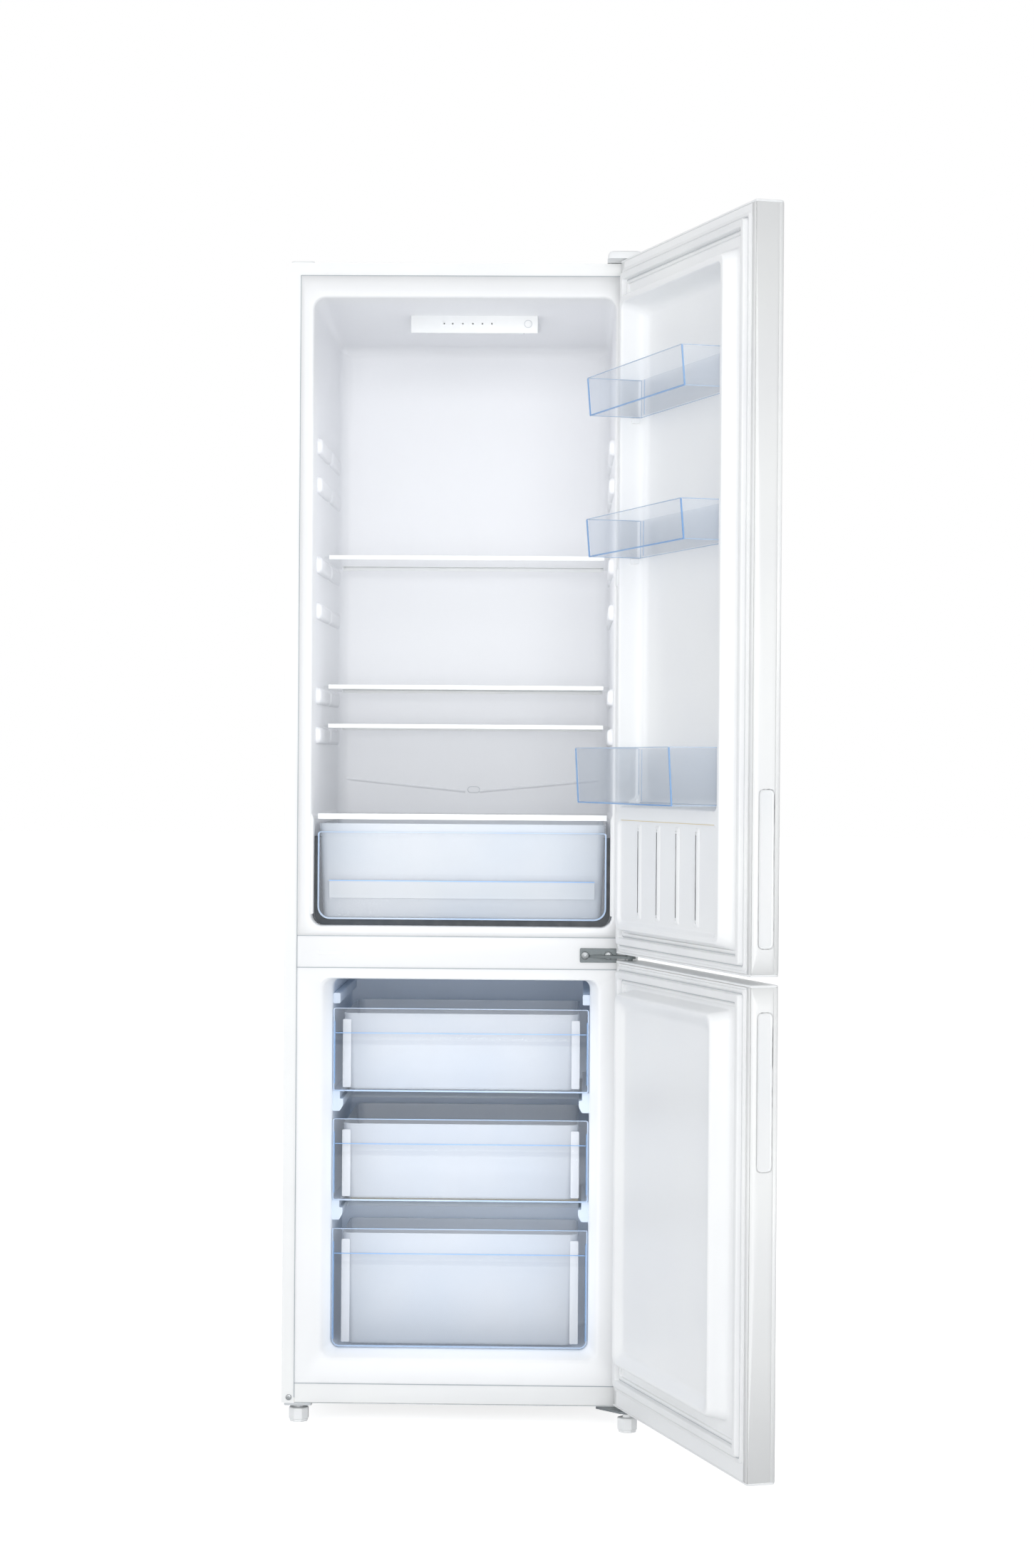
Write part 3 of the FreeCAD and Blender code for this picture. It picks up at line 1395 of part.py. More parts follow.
os.makedirs("parts", exist_ok=True)
for body, group in NODES:
    body.Shape.exportStep("parts/%s.step" % body.Label)
print("%d pieces, hinge line at x %.3f y %.3f" % (len(NODES), val(HINGE_X + " - " + ORIGIN_X), val(HINGE_Y + " - " + ORIGIN_Y)))
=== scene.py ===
import json
import math
import bpy
import bmesh
import numpy as np
from mathutils import Matrix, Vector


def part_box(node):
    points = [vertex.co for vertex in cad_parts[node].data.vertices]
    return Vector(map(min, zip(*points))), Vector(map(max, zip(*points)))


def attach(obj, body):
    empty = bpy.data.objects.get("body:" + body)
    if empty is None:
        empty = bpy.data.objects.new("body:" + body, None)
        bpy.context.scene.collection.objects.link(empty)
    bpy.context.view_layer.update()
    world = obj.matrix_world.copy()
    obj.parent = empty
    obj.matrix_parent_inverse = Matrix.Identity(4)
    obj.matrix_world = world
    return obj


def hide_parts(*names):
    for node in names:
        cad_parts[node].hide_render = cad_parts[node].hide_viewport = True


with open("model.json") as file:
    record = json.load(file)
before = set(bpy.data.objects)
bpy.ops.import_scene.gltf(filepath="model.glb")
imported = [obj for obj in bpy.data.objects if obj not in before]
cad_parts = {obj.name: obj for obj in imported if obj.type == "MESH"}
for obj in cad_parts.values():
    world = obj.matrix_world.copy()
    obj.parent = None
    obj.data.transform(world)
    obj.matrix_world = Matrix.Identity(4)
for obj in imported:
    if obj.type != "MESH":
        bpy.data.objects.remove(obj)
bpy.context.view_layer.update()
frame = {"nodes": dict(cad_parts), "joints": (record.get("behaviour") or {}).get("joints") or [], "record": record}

# A refrigerator with its freezer at the bottom, both doors standing open.
# Shapes are drawn in millimetres: x to the right of the cabinet's middle, y into the cabinet from its
# front edge, z up from the floor. Doors are drawn shut and swung open by their rest angle.

FLANGE = 20.0  # steel front flange, seen from the front
SHELL = 1.2  # wall of the vacuum-formed liners
MOUTH_LIP = 5.0  # rolled edge between the flange and the inside of the fridge
DOOR_IN, DOOR_OUT = -12.0, -54.0  # inner and outer face of a shut door
REST = math.radians(109)  # how far both doors stand open
OPEN, ENDED = (False, False), (False, True)  # which ends of a net are filled: none, or its last
RIGHT_ANGLE = math.pi / 2

CABINET_LOW, CABINET_HIGH = (np.array(corner) * 1000 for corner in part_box("cabinet_wrapper"))
SHIFT = np.array([(CABINET_LOW[0] + CABINET_HIGH[0]) / 2, CABINET_LOW[1], 0.0])
HINGE_JOINT = next(joint for joint in frame["joints"] if joint["name"] == "upper_door_hinge")
HINGE = np.array(HINGE_JOINT["pos_m"]) * 1000 - SHIFT
HINGE[2] = 0
SWING = np.array([
    [math.cos(REST), -math.sin(REST), 0],
    [math.sin(REST), math.cos(REST), 0],
    [0, 0, 1],
])
SIDE = (CABINET_HIGH[0] - CABINET_LOW[0]) / 2
ON_DOOR = ("upper_door", "lower_door", "top_rack_body", "middle_rack_body", "bottle_rack_body")
BODY_OF = {node: body for body, nodes in frame["record"]["behaviour"]["bodies"].items() for node in nodes}


def stand(points, body):
    """Drawn points in metres in the shared frame; a door's points turn about the hinge line first."""
    points = np.asarray(points, float)
    if body in ON_DOOR:
        points = (points - HINGE) @ SWING.T + HINGE
    return (points + SHIFT) / 1000


def span(node_name):
    """Lowest and highest corner of a CAD node in drawn millimetres, its door shut."""
    mesh = frame["nodes"][node_name].data
    flat = np.empty(len(mesh.vertices) * 3)
    mesh.vertices.foreach_get("co", flat)
    points = flat.reshape(-1, 3) * 1000 - SHIFT
    if BODY_OF[node_name] in ON_DOOR:
        points = (points - HINGE) @ SWING + HINGE
    return points.min(0), points.max(0)


# ---- Shapes -----------------------------------------------------------------------------------


def ring(left, right, low, high, radius, arc=8, side=5):
    """A rounded rectangle as a closed loop: four quarter circles of points joined by even steps.

    radius is one number, or one each for the corners low right, high right, high left, low left.
    """
    radius = np.broadcast_to(np.asarray(radius, float), 4)[:, None]
    centre_x = np.array([[right], [right], [left], [left]]) + radius * np.array([[-1], [-1], [1], [1]])
    centre_y = np.array([[low], [high], [high], [low]]) + radius * np.array([[1], [-1], [-1], [1]])
    angle = (np.arange(4)[:, None] - 1) * RIGHT_ANGLE + np.linspace(0, RIGHT_ANGLE, arc)[None, :]
    corners = np.stack([centre_x + radius * np.cos(angle), centre_y + radius * np.sin(angle)], axis=2)
    start, end = corners[:, -1], np.roll(corners[:, 0], -1, axis=0)
    step = (np.arange(1, side + 1) / (side + 1))[None, :, None]
    edges = start[:, None] * (1 - step) + end[:, None] * step
    return np.concatenate([corners, edges], axis=1).reshape(-1, 2)


def circle(count, phase=0.0):
    """A unit circle as a closed loop of count points, the first one phase steps round."""
    turn = (np.arange(count) + phase) * 2 * math.pi / count
    return np.stack([np.cos(turn), np.sin(turn)], axis=1)


def soft(points, cuts, count=6):
    """A path with each inner corner cut back by a length and bridged by a parabola.

    The bridge is (1-t)^2 A + 2t(1-t) V + t^2 B for the corner V and the two cut points A and B.
    """
    points = np.asarray(points, float)
    path = [points[:1]]
    blend = np.linspace(0, 1, count)[:, None]
    for before, corner, after, cut in zip(points, points[1:], points[2:], cuts):
        if cut == 0:
            path.append(corner[None])
            continue
        back, ahead = before - corner, after - corner
        first = corner + back * min(cut / np.linalg.norm(back), 0.5)
        last = corner + ahead * min(cut / np.linalg.norm(ahead), 0.5)
        path.append((1 - blend) ** 2 * first + 2 * blend * (1 - blend) * corner + blend ** 2 * last)
    path.append(points[-1:])
    return np.concatenate(path)


def to_space(loop, level, axis):
    """Put a flat loop at a level along axis x, y or z; the loop keeps the other two in order."""
    level = np.full(len(loop), float(level))
    first, second = loop[:, 0], loop[:, 1]
    columns = {"x": (level, first, second), "y": (first, level, second), "z": (first, second, level)}
    return np.stack(columns[axis], axis=1)


def net(name, rows, body, caps=(True, True)):
    """A mesh over rows[i, j] of points, closed round j, its first and last row filled where caps say so."""
    rows = np.asarray(rows, float)
    count, around = rows.shape[:2]
    index = np.arange(count * around).reshape(count, around)
    quads = np.stack([index[:-1], np.roll(index[:-1], -1, 1), np.roll(index[1:], -1, 1), index[1:]], axis=2)
    faces = quads.reshape(-1, 4).tolist()
    if caps[0]:
        faces.append(index[0][::-1].tolist())
    if caps[1]:
        faces.append(index[-1].tolist())
    mesh = bpy.data.meshes.new(name)
    mesh.from_pydata(stand(rows.reshape(-1, 3), body).tolist(), [], faces)
    return mesh


def joined(name, meshes):
    """One mesh made of several."""
    work = bmesh.new()
    for mesh in meshes:
        work.from_mesh(mesh)
        bpy.data.meshes.remove(mesh)
    mesh = bpy.data.meshes.new(name)
    work.to_mesh(mesh)
    work.free()
    return mesh


def settle(mesh, closed=True, angle=32):
    """Merge doubled points, turn closed skins outwards, smooth all but the real edges."""
    work = bmesh.new()
    work.from_mesh(mesh)
    bmesh.ops.remove_doubles(work, verts=work.verts, dist=1e-6)
    bmesh.ops.dissolve_degenerate(work, edges=work.edges, dist=1e-7)
    if closed:
        bmesh.ops.recalc_face_normals(work, faces=work.faces)
    work.to_mesh(mesh)
    work.free()
    mesh.polygons.foreach_set("use_smooth", np.ones(len(mesh.polygons), bool))
    mesh.set_sharp_from_angle(angle=math.radians(angle))


def stack(rows, axis):
    """Loops for rows of (level, left, right, low, high, radius), the path between rows being straight."""
    rows = np.asarray(rows, float)
    return np.array([to_space(ring(*row[1:5], max(row[5], 0.05)), row[0], axis) for row in rows])


def block(name, low, high, axis, body, corner=2.0, edge=0.8):
    """A solid with corners rounded across an axis and its end edges rolled over by quarter circles."""
    order = {"x": (0, 1, 2), "y": (1, 0, 2), "z": (2, 0, 1)}[axis]
    low, high = np.asarray(low, float)[list(order)], np.asarray(high, float)[list(order)]
    turn = np.linspace(0, RIGHT_ANGLE, 4)
    inset = np.concatenate([edge * (1 - np.sin(turn)), edge * (1 - np.cos(turn))])
    level = np.concatenate([low[0] + edge * (1 - np.cos(turn)), high[0] - edge * (1 - np.sin(turn))])
    rows = [
        (at, low[1] + by, high[1] - by, low[2] + by, high[2] - by, max(corner - by, 0.1))
        for at, by in zip(level, inset)
    ]
    return net(name, stack(rows, axis), body)


def prism(name, outline, axis, start, stop, body):
    """A closed outline carried straight along an axis from start to stop."""
    outline = np.asarray(outline, float)
    return net(name, [to_space(outline, start, axis), to_space(outline, stop, axis)], body)


def bars(name, runs, size, body):
    """Thin square bars along straight runs, each from one point to another."""
    meshes = []
    for start, end in runs:
        start, end = np.asarray(start, float), np.asarray(end, float)
        along = (end - start) / np.linalg.norm(end - start)
        aside = np.cross(along, (0, 0, 1) if abs(along[2]) < 0.9 else (1, 0, 0))
        aside /= np.linalg.norm(aside)
        above = np.cross(aside, along)
        corners = np.array([-aside - above, aside - above, aside + above, above - aside]) * size / 2
        meshes.append(net("bar", [start + corners, end + corners], body))
    return joined(name, meshes)


def rounded(outline, cut):
    """A closed outline with every corner cut back and bridged by a parabola."""
    outline = np.asarray(outline, float)
    middle = (outline[0] + outline[-1]) / 2
    path = soft(np.concatenate([middle[None], outline, middle[None]]), [cut] * len(outline), 5)
    return path[:-1]


def turned(name, centre, profile, body, count=24):
    """A turned part facing the front: circles of (radius, depth) about a centre in x and z."""
    loops = [to_space(np.array(centre) + circle(count) * radius, depth, "y") for radius, depth in profile]
    return net(name, loops, body)


def collar(name, outer, inner, near, far, body):
    """A closed frame between two flat loops, its four-sided section from depth near to depth far."""
    section = ((outer, near), (inner, near), (inner, far), (outer, far), (outer, near))
    return net(name, [to_space(loop, depth, "y") for loop, depth in section], body, OPEN)


def flip(mesh):
    """Turn an open skin over, so that it faces the other way."""
    mesh.flip_normals()
    return mesh


# ---- Materials --------------------------------------------------------------------------------


def linear(hex_colour, alpha=1.0):
    """An sRGB hex colour as linear red, green, blue and alpha."""
    value = np.array([int(hex_colour[i:i + 2], 16) / 255 for i in (1, 3, 5)])
    value = np.where(value <= 0.04045, value / 12.92, ((value + 0.055) / 1.055) ** 2.4)
    return (*value, alpha)


def node(tree, kind, settings=(), **links):
    """Add a shader node, set its inputs and properties, and link outputs of others to its inputs."""
    made = tree.nodes.new(kind)
    for key, value in dict(settings).items():
        if isinstance(key, str) and hasattr(made, key) and key not in made.inputs:
            setattr(made, key, value)
        else:
            made.inputs[key].default_value = value
    for key, (source, output) in links.items():
        tree.links.new(source.outputs[output], made.inputs[key.replace("_", " ")])
    return made


def emptied(owner):
    """The node tree of a material or a world, with nothing in it."""
    owner.use_nodes = True
    owner.node_tree.nodes.clear()
    return owner.node_tree


def finish(name, colour, tint, grain_mm, relief=0.05, rough=(0.3, 0.4), inside=None, **shader):
    """A moulded or painted finish: colour drifts a little between two tones, gloss and surface by grain.

    A slow noise of 180 mm mixes the two colours, and a noise of grain_mm moves roughness and bump.
    A third colour, a painted cool shade, may take over behind the cabinet's front edge, over the first 60 mm of
    depth.
    """
    material = bpy.data.materials.new(name)
    tree = emptied(material)
    place = node(tree, "ShaderNodeTexCoord")
    drift = node(tree, "ShaderNodeTexNoise", {"Scale": 1 / 0.18, "Detail": 2.0}, Vector=(place, "Object"))
    grain = node(tree, "ShaderNodeTexNoise", {"Scale": 1000 / grain_mm, "Detail": 3.0}, Vector=(place, "Object"))
    tone = node(tree, "ShaderNodeValToRGB", Fac=(drift, "Fac"))
    for stop, position, shade in zip(tone.color_ramp.elements, (0.35, 0.65), (colour, tint)):
        stop.position, stop.color = position, linear(shade)
    gloss = node(
        tree, "ShaderNodeMapRange", {"To Min": rough[0], "To Max": rough[1], "From Min": 0.3, "From Max": 0.7},
        Value=(grain, "Fac"),
    )
    height = {"Strength": relief, "Distance": grain_mm / 1000 * 0.3}
    bump = node(tree, "ShaderNodeBump", height, Height=(grain, "Fac"))
    surface = node(
        tree, "ShaderNodeBsdfPrincipled", shader, Roughness=(gloss, "Result"), Normal=(bump, "Normal"),
    )
    base = tone.outputs["Color"]
    # Painted shade: the inside colour takes over with depth behind the front edge, where less light falls.
    if inside:
        parts = node(tree, "ShaderNodeSeparateXYZ", Vector=(place, "Object"))
        start = SHIFT[1] / 1000 + 0.004
        depth = node(
            tree, "ShaderNodeMapRange", {"From Min": start, "From Max": start + 0.06}, Value=(parts, "Y"),
        )
        # In colour mode a Mix node's inputs 6 and 7 are its two colours, and output 2 the result.
        painted_shade_mix = node(tree, "ShaderNodeMix", {"data_type": "RGBA", 7: linear(inside)})
        tree.links.new(depth.outputs["Result"], painted_shade_mix.inputs[0])
        tree.links.new(base, painted_shade_mix.inputs[6])
        base = painted_shade_mix.outputs[2]
    tree.links.new(base, surface.inputs["Base Color"])
    node(tree, "ShaderNodeOutputMaterial", Surface=(surface, "BSDF"))
    return material


SHEET = {"grain_mm": 1.2, "relief": 0.03, "rough": (0.30, 0.42), "Specular IOR Level": 0.45}
STYRENE = {"grain_mm": 6.0, "relief": 0.01, "IOR": 1.5}
EDGE = {**STYRENE, "rough": (0.08, 0.14)}
PLATED = {"Metallic": 1.0, "grain_mm": 1.5, "relief": 0.15}
FINISH = {
    # Powder-coated sheet steel: bright, with a faint orange peel. The real one is about 1 mm across and
    # is drawn at 2 mm, so that it shows.
    "coated_steel": finish("powder_coated_steel", "#f4f5f5", "#f8f9f8", 2.0, 0.04, (0.28, 0.38)),
    # High-impact polystyrene sheet, vacuum formed: soft gloss, white at the front, with a painted cool shade
    # within where no light falls straight on it.
    "liner": finish("vacuum_formed_polystyrene", "#f5f6f7", "#f8f9fa", inside="#f4f5f8", **SHEET),
    "cold_liner": finish("freezer_polystyrene", "#f5f6f7", "#f8f9fa", inside="#e2edfb", **SHEET),
    "door_liner": finish("door_polystyrene", "#f7f8f9", "#fafbfb", **SHEET),
    # Moulded polystyrene rails of the freezer: the liner's gloss, coloured blue-grey as painted shade.
    "rail": finish("freezer_rail_polystyrene", "#cfdcec", "#dae4f1", 1.2, 0.03, (0.35, 0.45)),
    # Injection-moulded ABS trim: white, with a fine spark-eroded grain.
    "abs": finish("moulded_white_abs", "#f3f5f6", "#f7f8f8", 0.8, 0.06, (0.32, 0.45)),
    # Plasticised PVC seal: soft white with a dull skin, and painted shade in grey on the web between its lips.
    "seal": finish("white_pvc_seal", "#f1f2f3", "#f6f7f7", 0.7, 0.08, (0.5, 0.62)),
    "seal_web": finish("seal_web_painted_shade", "#c4c8cb", "#cdd1d4", 0.7, 0.08, (0.55, 0.7)),
    # General-purpose polystyrene, moulded: water clear, faintly blue in the racks.
    "clear": finish("clear_polystyrene", "#edf3fc", "#f2f6fc", rough=(0.05, 0.1), Alpha=0.06, **STYRENE),
    "tinted": finish("tinted_polystyrene", "#cfdff4", "#dce8f7", rough=(0.05, 0.1), Alpha=0.12, **STYRENE),
    # The same seen edge-on, where its blue gathers: strong at a cut edge, pale at a rounded one.
    "clear_edge": finish("polystyrene_cut_edge", "#86b4ea", "#9cc3f0", Alpha=0.75, **EDGE),
    "pale_edge": finish("polystyrene_rounded_edge", "#b9d3f3", "#d6e5f8", Alpha=0.7, **{**EDGE, "grain_mm": 4.0}),
    # The same with a blasted mould face, which scatters: bands, flanges and bins in a milky white.
    "frosted": finish("frosted_polystyrene", "#eaf1f9", "#f1f5fa", 0.6, 0.08, (0.35, 0.5), Alpha=0.42, IOR=1.5),
    "flange": finish("milky_polystyrene", "#f0f4fa", "#f5f8fc", 0.6, 0.05, (0.35, 0.5), Alpha=0.62, IOR=1.5),
    "bin": finish("bluish_polystyrene", "#e6eef8", "#eef3fa", 1.0, 0.03, (0.2, 0.3), Alpha=0.4, IOR=1.5),
    # Tempered float glass, ground at its edges: almost unseen face-on.
    "glass": finish("tempered_glass", "#e9f4f4", "#eef6f6", 20.0, 0.0, (0.02, 0.04), Alpha=0.08, IOR=1.52),
    # Opal polycarbonate lens: white and glossy, with a little depth.
    "lens": finish("opal_lamp_lens", "#f2f5f8", "#f7f9fa", 2.0, 0.02, (0.15, 0.25), Alpha=0.85),
    # Zinc-plated pressed steel: mid grey with a soft shine, brighter on the turned screw heads.
    "zinc": finish("zinc_plated_steel", "#6d7375", "#7d8283", rough=(0.42, 0.55), **PLATED),
    "dark_zinc": finish("dull_plated_steel", "#84898c", "#92979a", rough=(0.45, 0.6), **PLATED),
    "screw": finish("zinc_plated_screw", "#9fa3a5", "#b0b3b4", 1.0, 0.1, (0.35, 0.45), Metallic=1.0),
    # Galvanised sheet: pale grey, with spangles of about 8 mm.
    "galvanised": finish("galvanised_sheet", "#b3b7ba", "#c6c9cb", 8.0, 0.1, (0.35, 0.5), Metallic=1.0),
    # Enamelled steel can of the compressor: deep gloss black.
    "black_paint": finish("black_enamelled_can", "#151617", "#1d1e1f", 1.8, 0.08, (0.25, 0.35)),
    # Moulded black ABS: dull, with a fine grain.
    "black_abs": finish("black_moulded_abs", "#202224", "#2a2c2e", 0.8, 0.08, (0.45, 0.6)),
    # Drawn copper tube: smooth and warm, slightly dulled.
    "copper": finish("drawn_copper_tube", "#b8734b", "#c48058", 3.0, 0.05, (0.25, 0.38), Metallic=1.0),
    # Rigid polyurethane foam: straw coloured, matt and open. Its cells are drawn at 3 mm, so that they show.
    "foam": finish("polyurethane_foam", "#d9c58d", "#e2d09c", 3.0, 0.4, (0.85, 0.95)),
    # Thin shaded joint between two sheets, and a pad print, which also serves as painted shade in the drain hole:
    # flat greys.
    "seam": finish("shaded_seam", "#aeb4b9", "#b9bfc4", 1.0, 0.0, (0.5, 0.6)),
    "print": finish("grey_print_and_drain_shade", "#c9cdd1", "#d0d4d8", 1.0, 0.0, (0.4, 0.5)),
    # Painted shadow: a soft dark sheet that fills the gap round the foot of the crisper, where shade falls.
    "gap": finish("crisper_gap_painted_shadow", "#1f272f", "#2a333c", 12.0, 0.1, (0.3, 0.45)),
}


def piece(name, mesh, body, look, closed=True, bevel=0.0, wall=0.0, hides=(), angle=32):
    """A finished piece of one mesh or several, that rides on a body and may stand for CAD nodes."""
    mesh = joined(name, mesh) if isinstance(mesh, list) else mesh
    settle(mesh, closed, angle)
    made = bpy.data.objects.new(name, mesh)
    bpy.context.scene.collection.objects.link(made)
    mesh.materials.append(FINISH[look])
    if wall:
        thick = made.modifiers.new("wall", "SOLIDIFY")
        thick.thickness = wall / 1000
        thick.offset = -1
        thick.use_even_offset = True
    if bevel:
        soften = made.modifiers.new("edges", "BEVEL")
        soften.width = bevel / 1000
        soften.segments = 2
        soften.limit_method = "ANGLE"
        soften.angle_limit = math.radians(40)
        soften.harden_normals = False
    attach(made, body)
    if hides:
        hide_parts(*hides)


def dress(look, *nodes):
    """Give carried-over CAD nodes their finish."""
    for name in nodes:
        mesh = frame["nodes"][name].data
        mesh.materials.clear()
        mesh.materials.append(FINISH[look])


# ---- Cabinet ----------------------------------------------------------------------------------


def fridge_liner():
    """A rounded tunnel: flange, rolled mouth, drafted walls, a ceiling that falls to the rear, rear wall.

    The path gives inset over depth, and each of its points one rounded rectangle of the tunnel.
    """
    low, high = span("fridge_liner")
    half, floor, top, depth = 233.0, 766.0, 1734.5, high[1] - SHELL
    draft, fall, corner = 5.0, 12.0, 19.0
    path = soft([(0, 0), (MOUTH_LIP, 0), (MOUTH_LIP + draft, depth), (60, depth)], [MOUTH_LIP, 26], 8)
    rows = [(0, low[0], high[0], low[2], high[2], 0.5)]
    for inset, level in path:
        by = inset - MOUTH_LIP
        rows.append((level, by - half, half - by, floor + by, top - by - fall * level / depth, corner - by))
    piece(
        "fridge_liner_skin", flip(net("fridge_liner_skin", stack(rows, "y"), "cabinet", ENDED)),
        "cabinet", "liner", closed=False, wall=SHELL, hides=("fridge_liner",),
    )


def freezer_liner():
    """The same for the freezer: a flared mouth, and a step where the floor rises over the bay.

    Its path is written out as depth, half width, floor, ceiling and corner radius.
    """
    low, high = span("freezer_liner")
    depth = high[1] - SHELL
    step, step_top = 235.0, 318.0
    half, floor, top = 198.8, 112.2, 685.8
    path = soft(
        [
            (0, 217, 96, 687.5, 17), (3, 212, 101, top, 16), (25, half, floor, top, 14),
            (step, half, floor, top, 12), (step, half, step_top, top, 10),
            (depth, half, step_top, top, 10), (depth, 60, step_top + 160, 500, 4),
        ],
        [3, 7, 8, 12, 10],
    )
    rows = [(0, low[0], high[0], low[2], high[2], 0.5)]
    rows += [(y, -reach, reach, z0, z1, r) for y, reach, z0, z1, r in path]
    piece(
        "freezer_liner_skin", flip(net("freezer_liner_skin", stack(rows, "y"), "cabinet", ENDED)),
        "cabinet", "cold_liner", closed=False, hides=("freezer_liner",),
    )


def pillow(name, rect, base, tip, body, corner, edge):
    """A moulded bump on a side wall: a rounded rectangle of y and z raised along x, its edge rolled."""
    turn = np.linspace(0, RIGHT_ANGLE, 6)
    way = 1 if tip > base else -1
    level = np.concatenate([[base], tip - way * edge * (1 - np.sin(turn))])
    inset = np.concatenate([[0], edge * (1 - np.cos(turn))])
    rows = [
        (at, rect[0] + by, rect[1] - by, rect[2] + by, rect[3] - by, corner - by * 0.6)
        for at, by in zip(level, inset)
    ]
    return net(name, stack(rows, "x"), body)


def side_mouldings():
    """Shelf bumps in pairs on both walls, the thicker walls beside the crisper, and the drain gutter."""
    wall, bump_tip, bump_height = 233.6, 223, 26
    under_shelves, spare = (1339.9, 1135.7, 1073.9), (1525, 1465, 1268)
    meshes = []
    for top in under_shelves + spare:
        for start, end in ((60, 238), (254, 425)):
            for side in (-1, 1):
                rect = (start, end, top - bump_height, top)
                meshes.append(pillow("bump", rect, side * wall, side * bump_tip, "cabinet", 8, 7))
    piece("shelf_bumps", meshes, "cabinet", "liner")

    meshes = []
    for side in (-1, 1):
        sections = []
        for level, draft in ((2, 0), (422, 5)):
            inner, outer = 229 - draft, wall - draft
            outline = rounded([(inner, 785), (inner, 932), (outer, 944), (outer, 785)], 1.5)
            sections.append(to_space(outline * (side, 1), level, "y"))
        meshes.append(net("ledge", sections, "cabinet"))
    piece("crisper_ledges", meshes, "cabinet", "liner")

    depth = span("fridge_liner")[1][1] - SHELL
    lip = np.array([(0, -2, 2.5), (0, -3, 1), (0, -2.6, -1), (0, 0.2, -4), (0, 0.2, 3)])
    across = np.linspace(12, 214, 12)
    height = 972 + (across - 12) / 202 * 20
    meshes = []
    for side in (-1, 1):
        line = np.stack([side * across, np.full(12, depth), height], axis=1)
        meshes.append(net("gutter", line[:, None] + lip, "cabinet"))
    piece("drain_gutter", meshes, "cabinet", "liner", angle=80)
    # The drain mouth: a shallow grey oval, the print's grey standing as painted shade where the hole is dark.
    hole = [
        (depth - 1.0, -9, 13, 969, 981, 6), (depth - 1.5, -7.5, 11.5, 970.5, 979.5, 4.5),
        (depth + 0.1, -7, 11, 971, 979, 4),
    ]
    mesh = net("drain_mouth", stack(hole, "y"), "cabinet")
    piece("drain_mouth", mesh, "cabinet", "print", closed=False)


def freezer_rails():
    """Side rails with a lip for each glass plate and plain ones on top, outlines carried to the rear."""
    lip, foot, wall, front = 183, 188, 199.5, 38
    meshes = []
    for level, back in ((497, 372), (328, 232)):
        for side in (-1, 1):
            outline = rounded([
                (foot, level + 12), (foot, level), (lip, level), (lip, level - 10), (foot, level - 19),
                (wall, level - 19), (wall, level + 12),
            ], 1.5) * (side, 1)
            meshes.append(prism("rail", outline, "y", front, back, "cabinet"))
    for side in (-1, 1):
        outline = rounded([(foot, 661), (foot, 645), (wall, 645), (wall, 661)], 2.5) * (side, 1)
        meshes.append(prism("rail", outline, "y", front, 372, "cabinet"))
    piece("freezer_rails", meshes, "cabinet", "rail")


def front_covers():
    """Covers of the middle beam and the base, with rolled edges, and a bare oval badge place."""
    for name, node_name, look, slot in (
        ("beam_cover_skin", "beam_cover", "liner", "liner_plastic"),
        ("base_trim_skin", "base_trim", "coated_steel", "white_steel"),
    ):
        low, high = span(node_name)
        mesh = block(name, low + (0.3, -0.4, 0.3), high - (0.3, 0, 0.3), "y", "cabinet", 0.6, 0.5)
        piece(name, mesh, "cabinet", look, hides=(node_name,))
    badge = [(-0.4, -220, -179, 722, 727, 1.0), (-0.9, -219.5, -179.5, 722.5, 726.5, 0.8)]
    mesh = net("bare_badge_place", stack(badge, "y"), "cabinet")
    piece("bare_badge_place", mesh, "cabinet", "abs")


def cabinet_edges():
    """Mitre lines at the flange's top corners, its seams with the liners, and the screw low on its left."""
    meshes = []
    top = CABINET_HIGH[2]
    for side in (-1, 1):
        start = np.array([side * (SIDE - FLANGE + 0.5), top - FLANGE + 0.5])
        end = np.array([side * (SIDE - 0.6), top - 0.6])
        across = np.array([0.5, 0.5 * side])
        outline = [start - across, start + across, end + across, end - across]
        meshes.append(prism("mitre", outline, "y", -0.15, 0.05, "cabinet"))
    piece("mitre_lines", meshes, "cabinet", "print")
    edge, crown = SIDE - FLANGE + 0.2, top - FLANGE + 0.2
    lines = [((side * edge, -0.7, 40), (side * edge, -0.7, crown)) for side in (-1, 1)]
    lines += [((-edge, -0.7, level), (edge, -0.7, level)) for level in (62, 703, 752, crown)]
    piece("flange_seams", bars("flange_seams", lines, 1.2, "cabinet"), "cabinet", "seam")
    profile = ((4.6, 0), (4.6, -0.9), (3.8, -1.8), (2.4, -2.2), (1.6, -2.2), (1.3, -1.0), (0.05, -1.0))
    mesh = turned("flange_screw", (-261, 40), profile, "cabinet")
    piece("flange_screw", mesh, "cabinet", "screw")


def small_screws():
    """Two pan-head screws with a cross recess on the middle hinge plate."""
    profile = ((6.2, -3), (6.2, -4), (5.4, -5.3), (3.2, -6.1), (1.9, -6.2), (1.5, -4.8), (0.05, -4.8))
    meshes = [turned("screw", (across, 725), profile, "cabinet") for across in (191, 227)]
    piece("hinge_screws", meshes, "cabinet", "screw")


def feet():
    """Eight-sided moulded levelling feet: a block with a drawn-in ring at its foot, a stud and a nut."""
    octagon = circle(8, 0.5) / math.cos(math.pi / 8)
    nut = ((6.6, 22.3), (7, 22.8), (7, 26.8), (6.6, 27.2))
    for name in ("left_foot", "right_foot"):
        low, high = span(name)
        centre = (low[:2] + high[:2]) / 2
        block_and_stud = (
            (12.5, 0), (13.5, 1), (13.5, 4), (14.8, 5), (14.8, 20.5), (13.8, 21.8), (4.2, 21.8), (4.2, high[2]),
        )
        skin, body = name + "_skin", name + "_body"
        meshes = [
            net(skin, [to_space(centre + octagon * r, z, "z") for r, z in block_and_stud], body),
            net("nut", [to_space(centre + octagon[::-1] * r, z, "z") for r, z in nut], body),
        ]
        piece(skin, meshes, body, "abs", hides=(name,), angle=25)


